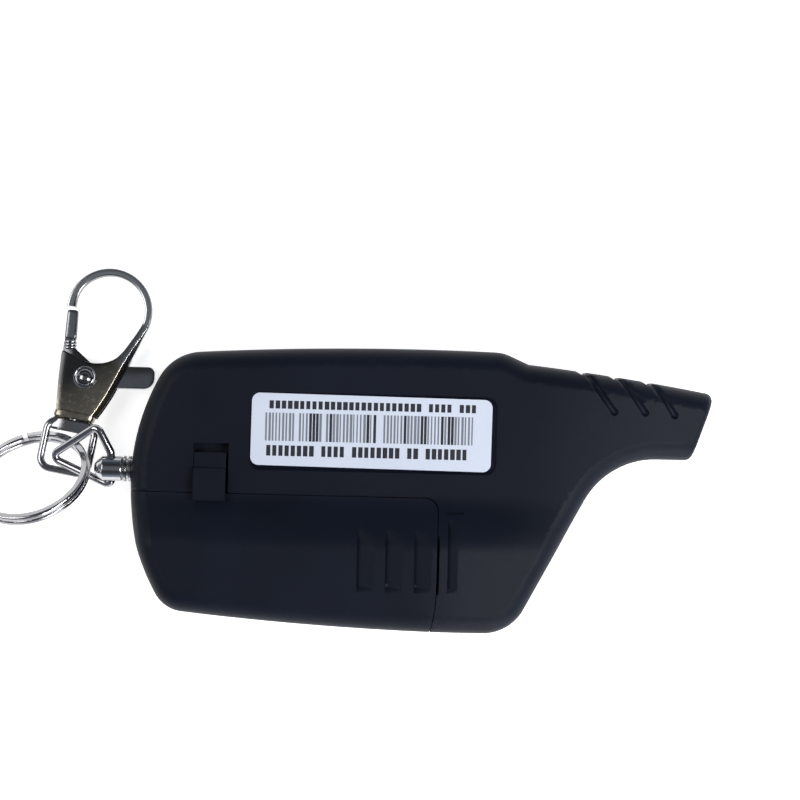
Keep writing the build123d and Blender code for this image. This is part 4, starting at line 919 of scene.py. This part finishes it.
# The centre is the point in the picture's middle, and plane is the height where pxPerMm holds
view = {"pixels": 800, "pxPerMm": 6.19, "centre": (10.14, 14.79), "roll": 1.4, "lens": 120.0, "plane": 9.0}
camera = bpy.data.objects.new("camera", bpy.data.cameras.new("camera"))
bpy.context.scene.collection.objects.link(camera)
camera.data.lens = view["lens"]
seen = view["pixels"] / view["pxPerMm"]
distance = view["lens"] / camera.data.sensor_width * seen
camera.location = (view["centre"][0] * mm, view["centre"][1] * mm, (view["plane"] + distance) * mm)
camera.rotation_euler = (0, 0, math.radians(view["roll"]))
camera.data.clip_start = 0.01
camera.data.clip_end = 10
bpy.context.scene.camera = camera

# Stops run from straight down to straight up. The sky is white at the horizon, bluish above it and dark
# overhead, and brighter to the right and the front: bright metal shows these as bands
sky = {"strength": 0.8, "toRight": 0.36, "toFront": 0.14, "even": 0.76,
       "stops": ((0.0, rgb(0.9, 0.9, 0.9)), (0.5, rgb(1.0, 1.0, 1.0)), (0.6, rgb(0.62, 0.70, 0.82)),
                 (0.74, rgb(0.20, 0.23, 0.28)), (0.9, rgb(0.08, 0.08, 0.09)),
                 (0.955, rgb(0.10, 0.10, 0.11)), (0.985, rgb(0.30, 0.33, 0.37)),
                 (1.0, rgb(0.30, 0.33, 0.37)))}
world = bpy.data.worlds.new("world")
bpy.context.scene.world = world
skyPaint = Paint("sky", world)
aimX, aimY, aimZ = skyPaint.split(skyPaint.node("TexCoord", output="Generated"))
skyTone = skyPaint.node("ValToRGB", {"stops": sky["stops"]}, {0: aimZ * 0.5 + 0.5})
skyShare = aimX * sky["toRight"] - aimY * sky["toFront"] + sky["even"]
skyGlow = skyPaint.node("Background", None, {0: skyTone, 1: skyShare * sky["strength"]})
skyPaint.node("OutputWorld", None, {"Surface": skyGlow})

# Place in metres, power in watts and size in metres; each lamp looks at the origin
lamps = {"key": ((0.24, -0.06, 0.34), 1.35, 0.16), "low": ((0.20, -0.42, 0.16), 1.1, 0.2),
         "fill": ((-0.40, 0.10, 0.42), 1.4, 0.35)}
for name, (place, power, size) in lamps.items():
    lamp = bpy.data.lights.new(name, "AREA")
    lamp.energy = power
    lamp.size = size
    holder = bpy.data.objects.new(name, lamp)
    bpy.context.scene.collection.objects.link(holder)
    holder.location = place
    holder.rotation_euler = Vector(place).to_track_quat("Z", "Y").to_euler()

table = {"half": 3, "dark": rgb(0.90, 0.90, 0.90), "light": rgb(0.92, 0.92, 0.92), "grain": 0.02,
         "roughness": 0.9, "specular": 0.1, "glow": 0.75}  # half in metres
floorPaint = Paint("floor")
floorTone = floorPaint.mix(floorPaint.noise(table["grain"], 2.0), table["dark"], table["light"])
floorMesh = bpy.data.meshes.new("floor")
reach = table["half"]
floorMesh.from_pydata([(-reach, -reach, 0), (reach, -reach, 0), (reach, reach, 0), (-reach, reach, 0)], [],
                      [(0, 1, 2, 3)])
floorMesh.materials.append(floorPaint.finish(Base_Color=floorTone, Roughness=table["roughness"],
                                             Specular_IOR_Level=table["specular"],
                                             Emission_Color=rgb(1, 1, 1), Emission_Strength=table["glow"]))
floor = bpy.data.objects.new("floor", floorMesh)
bpy.context.scene.collection.objects.link(floor)
bpy.context.scene.view_settings.view_transform = "Standard"
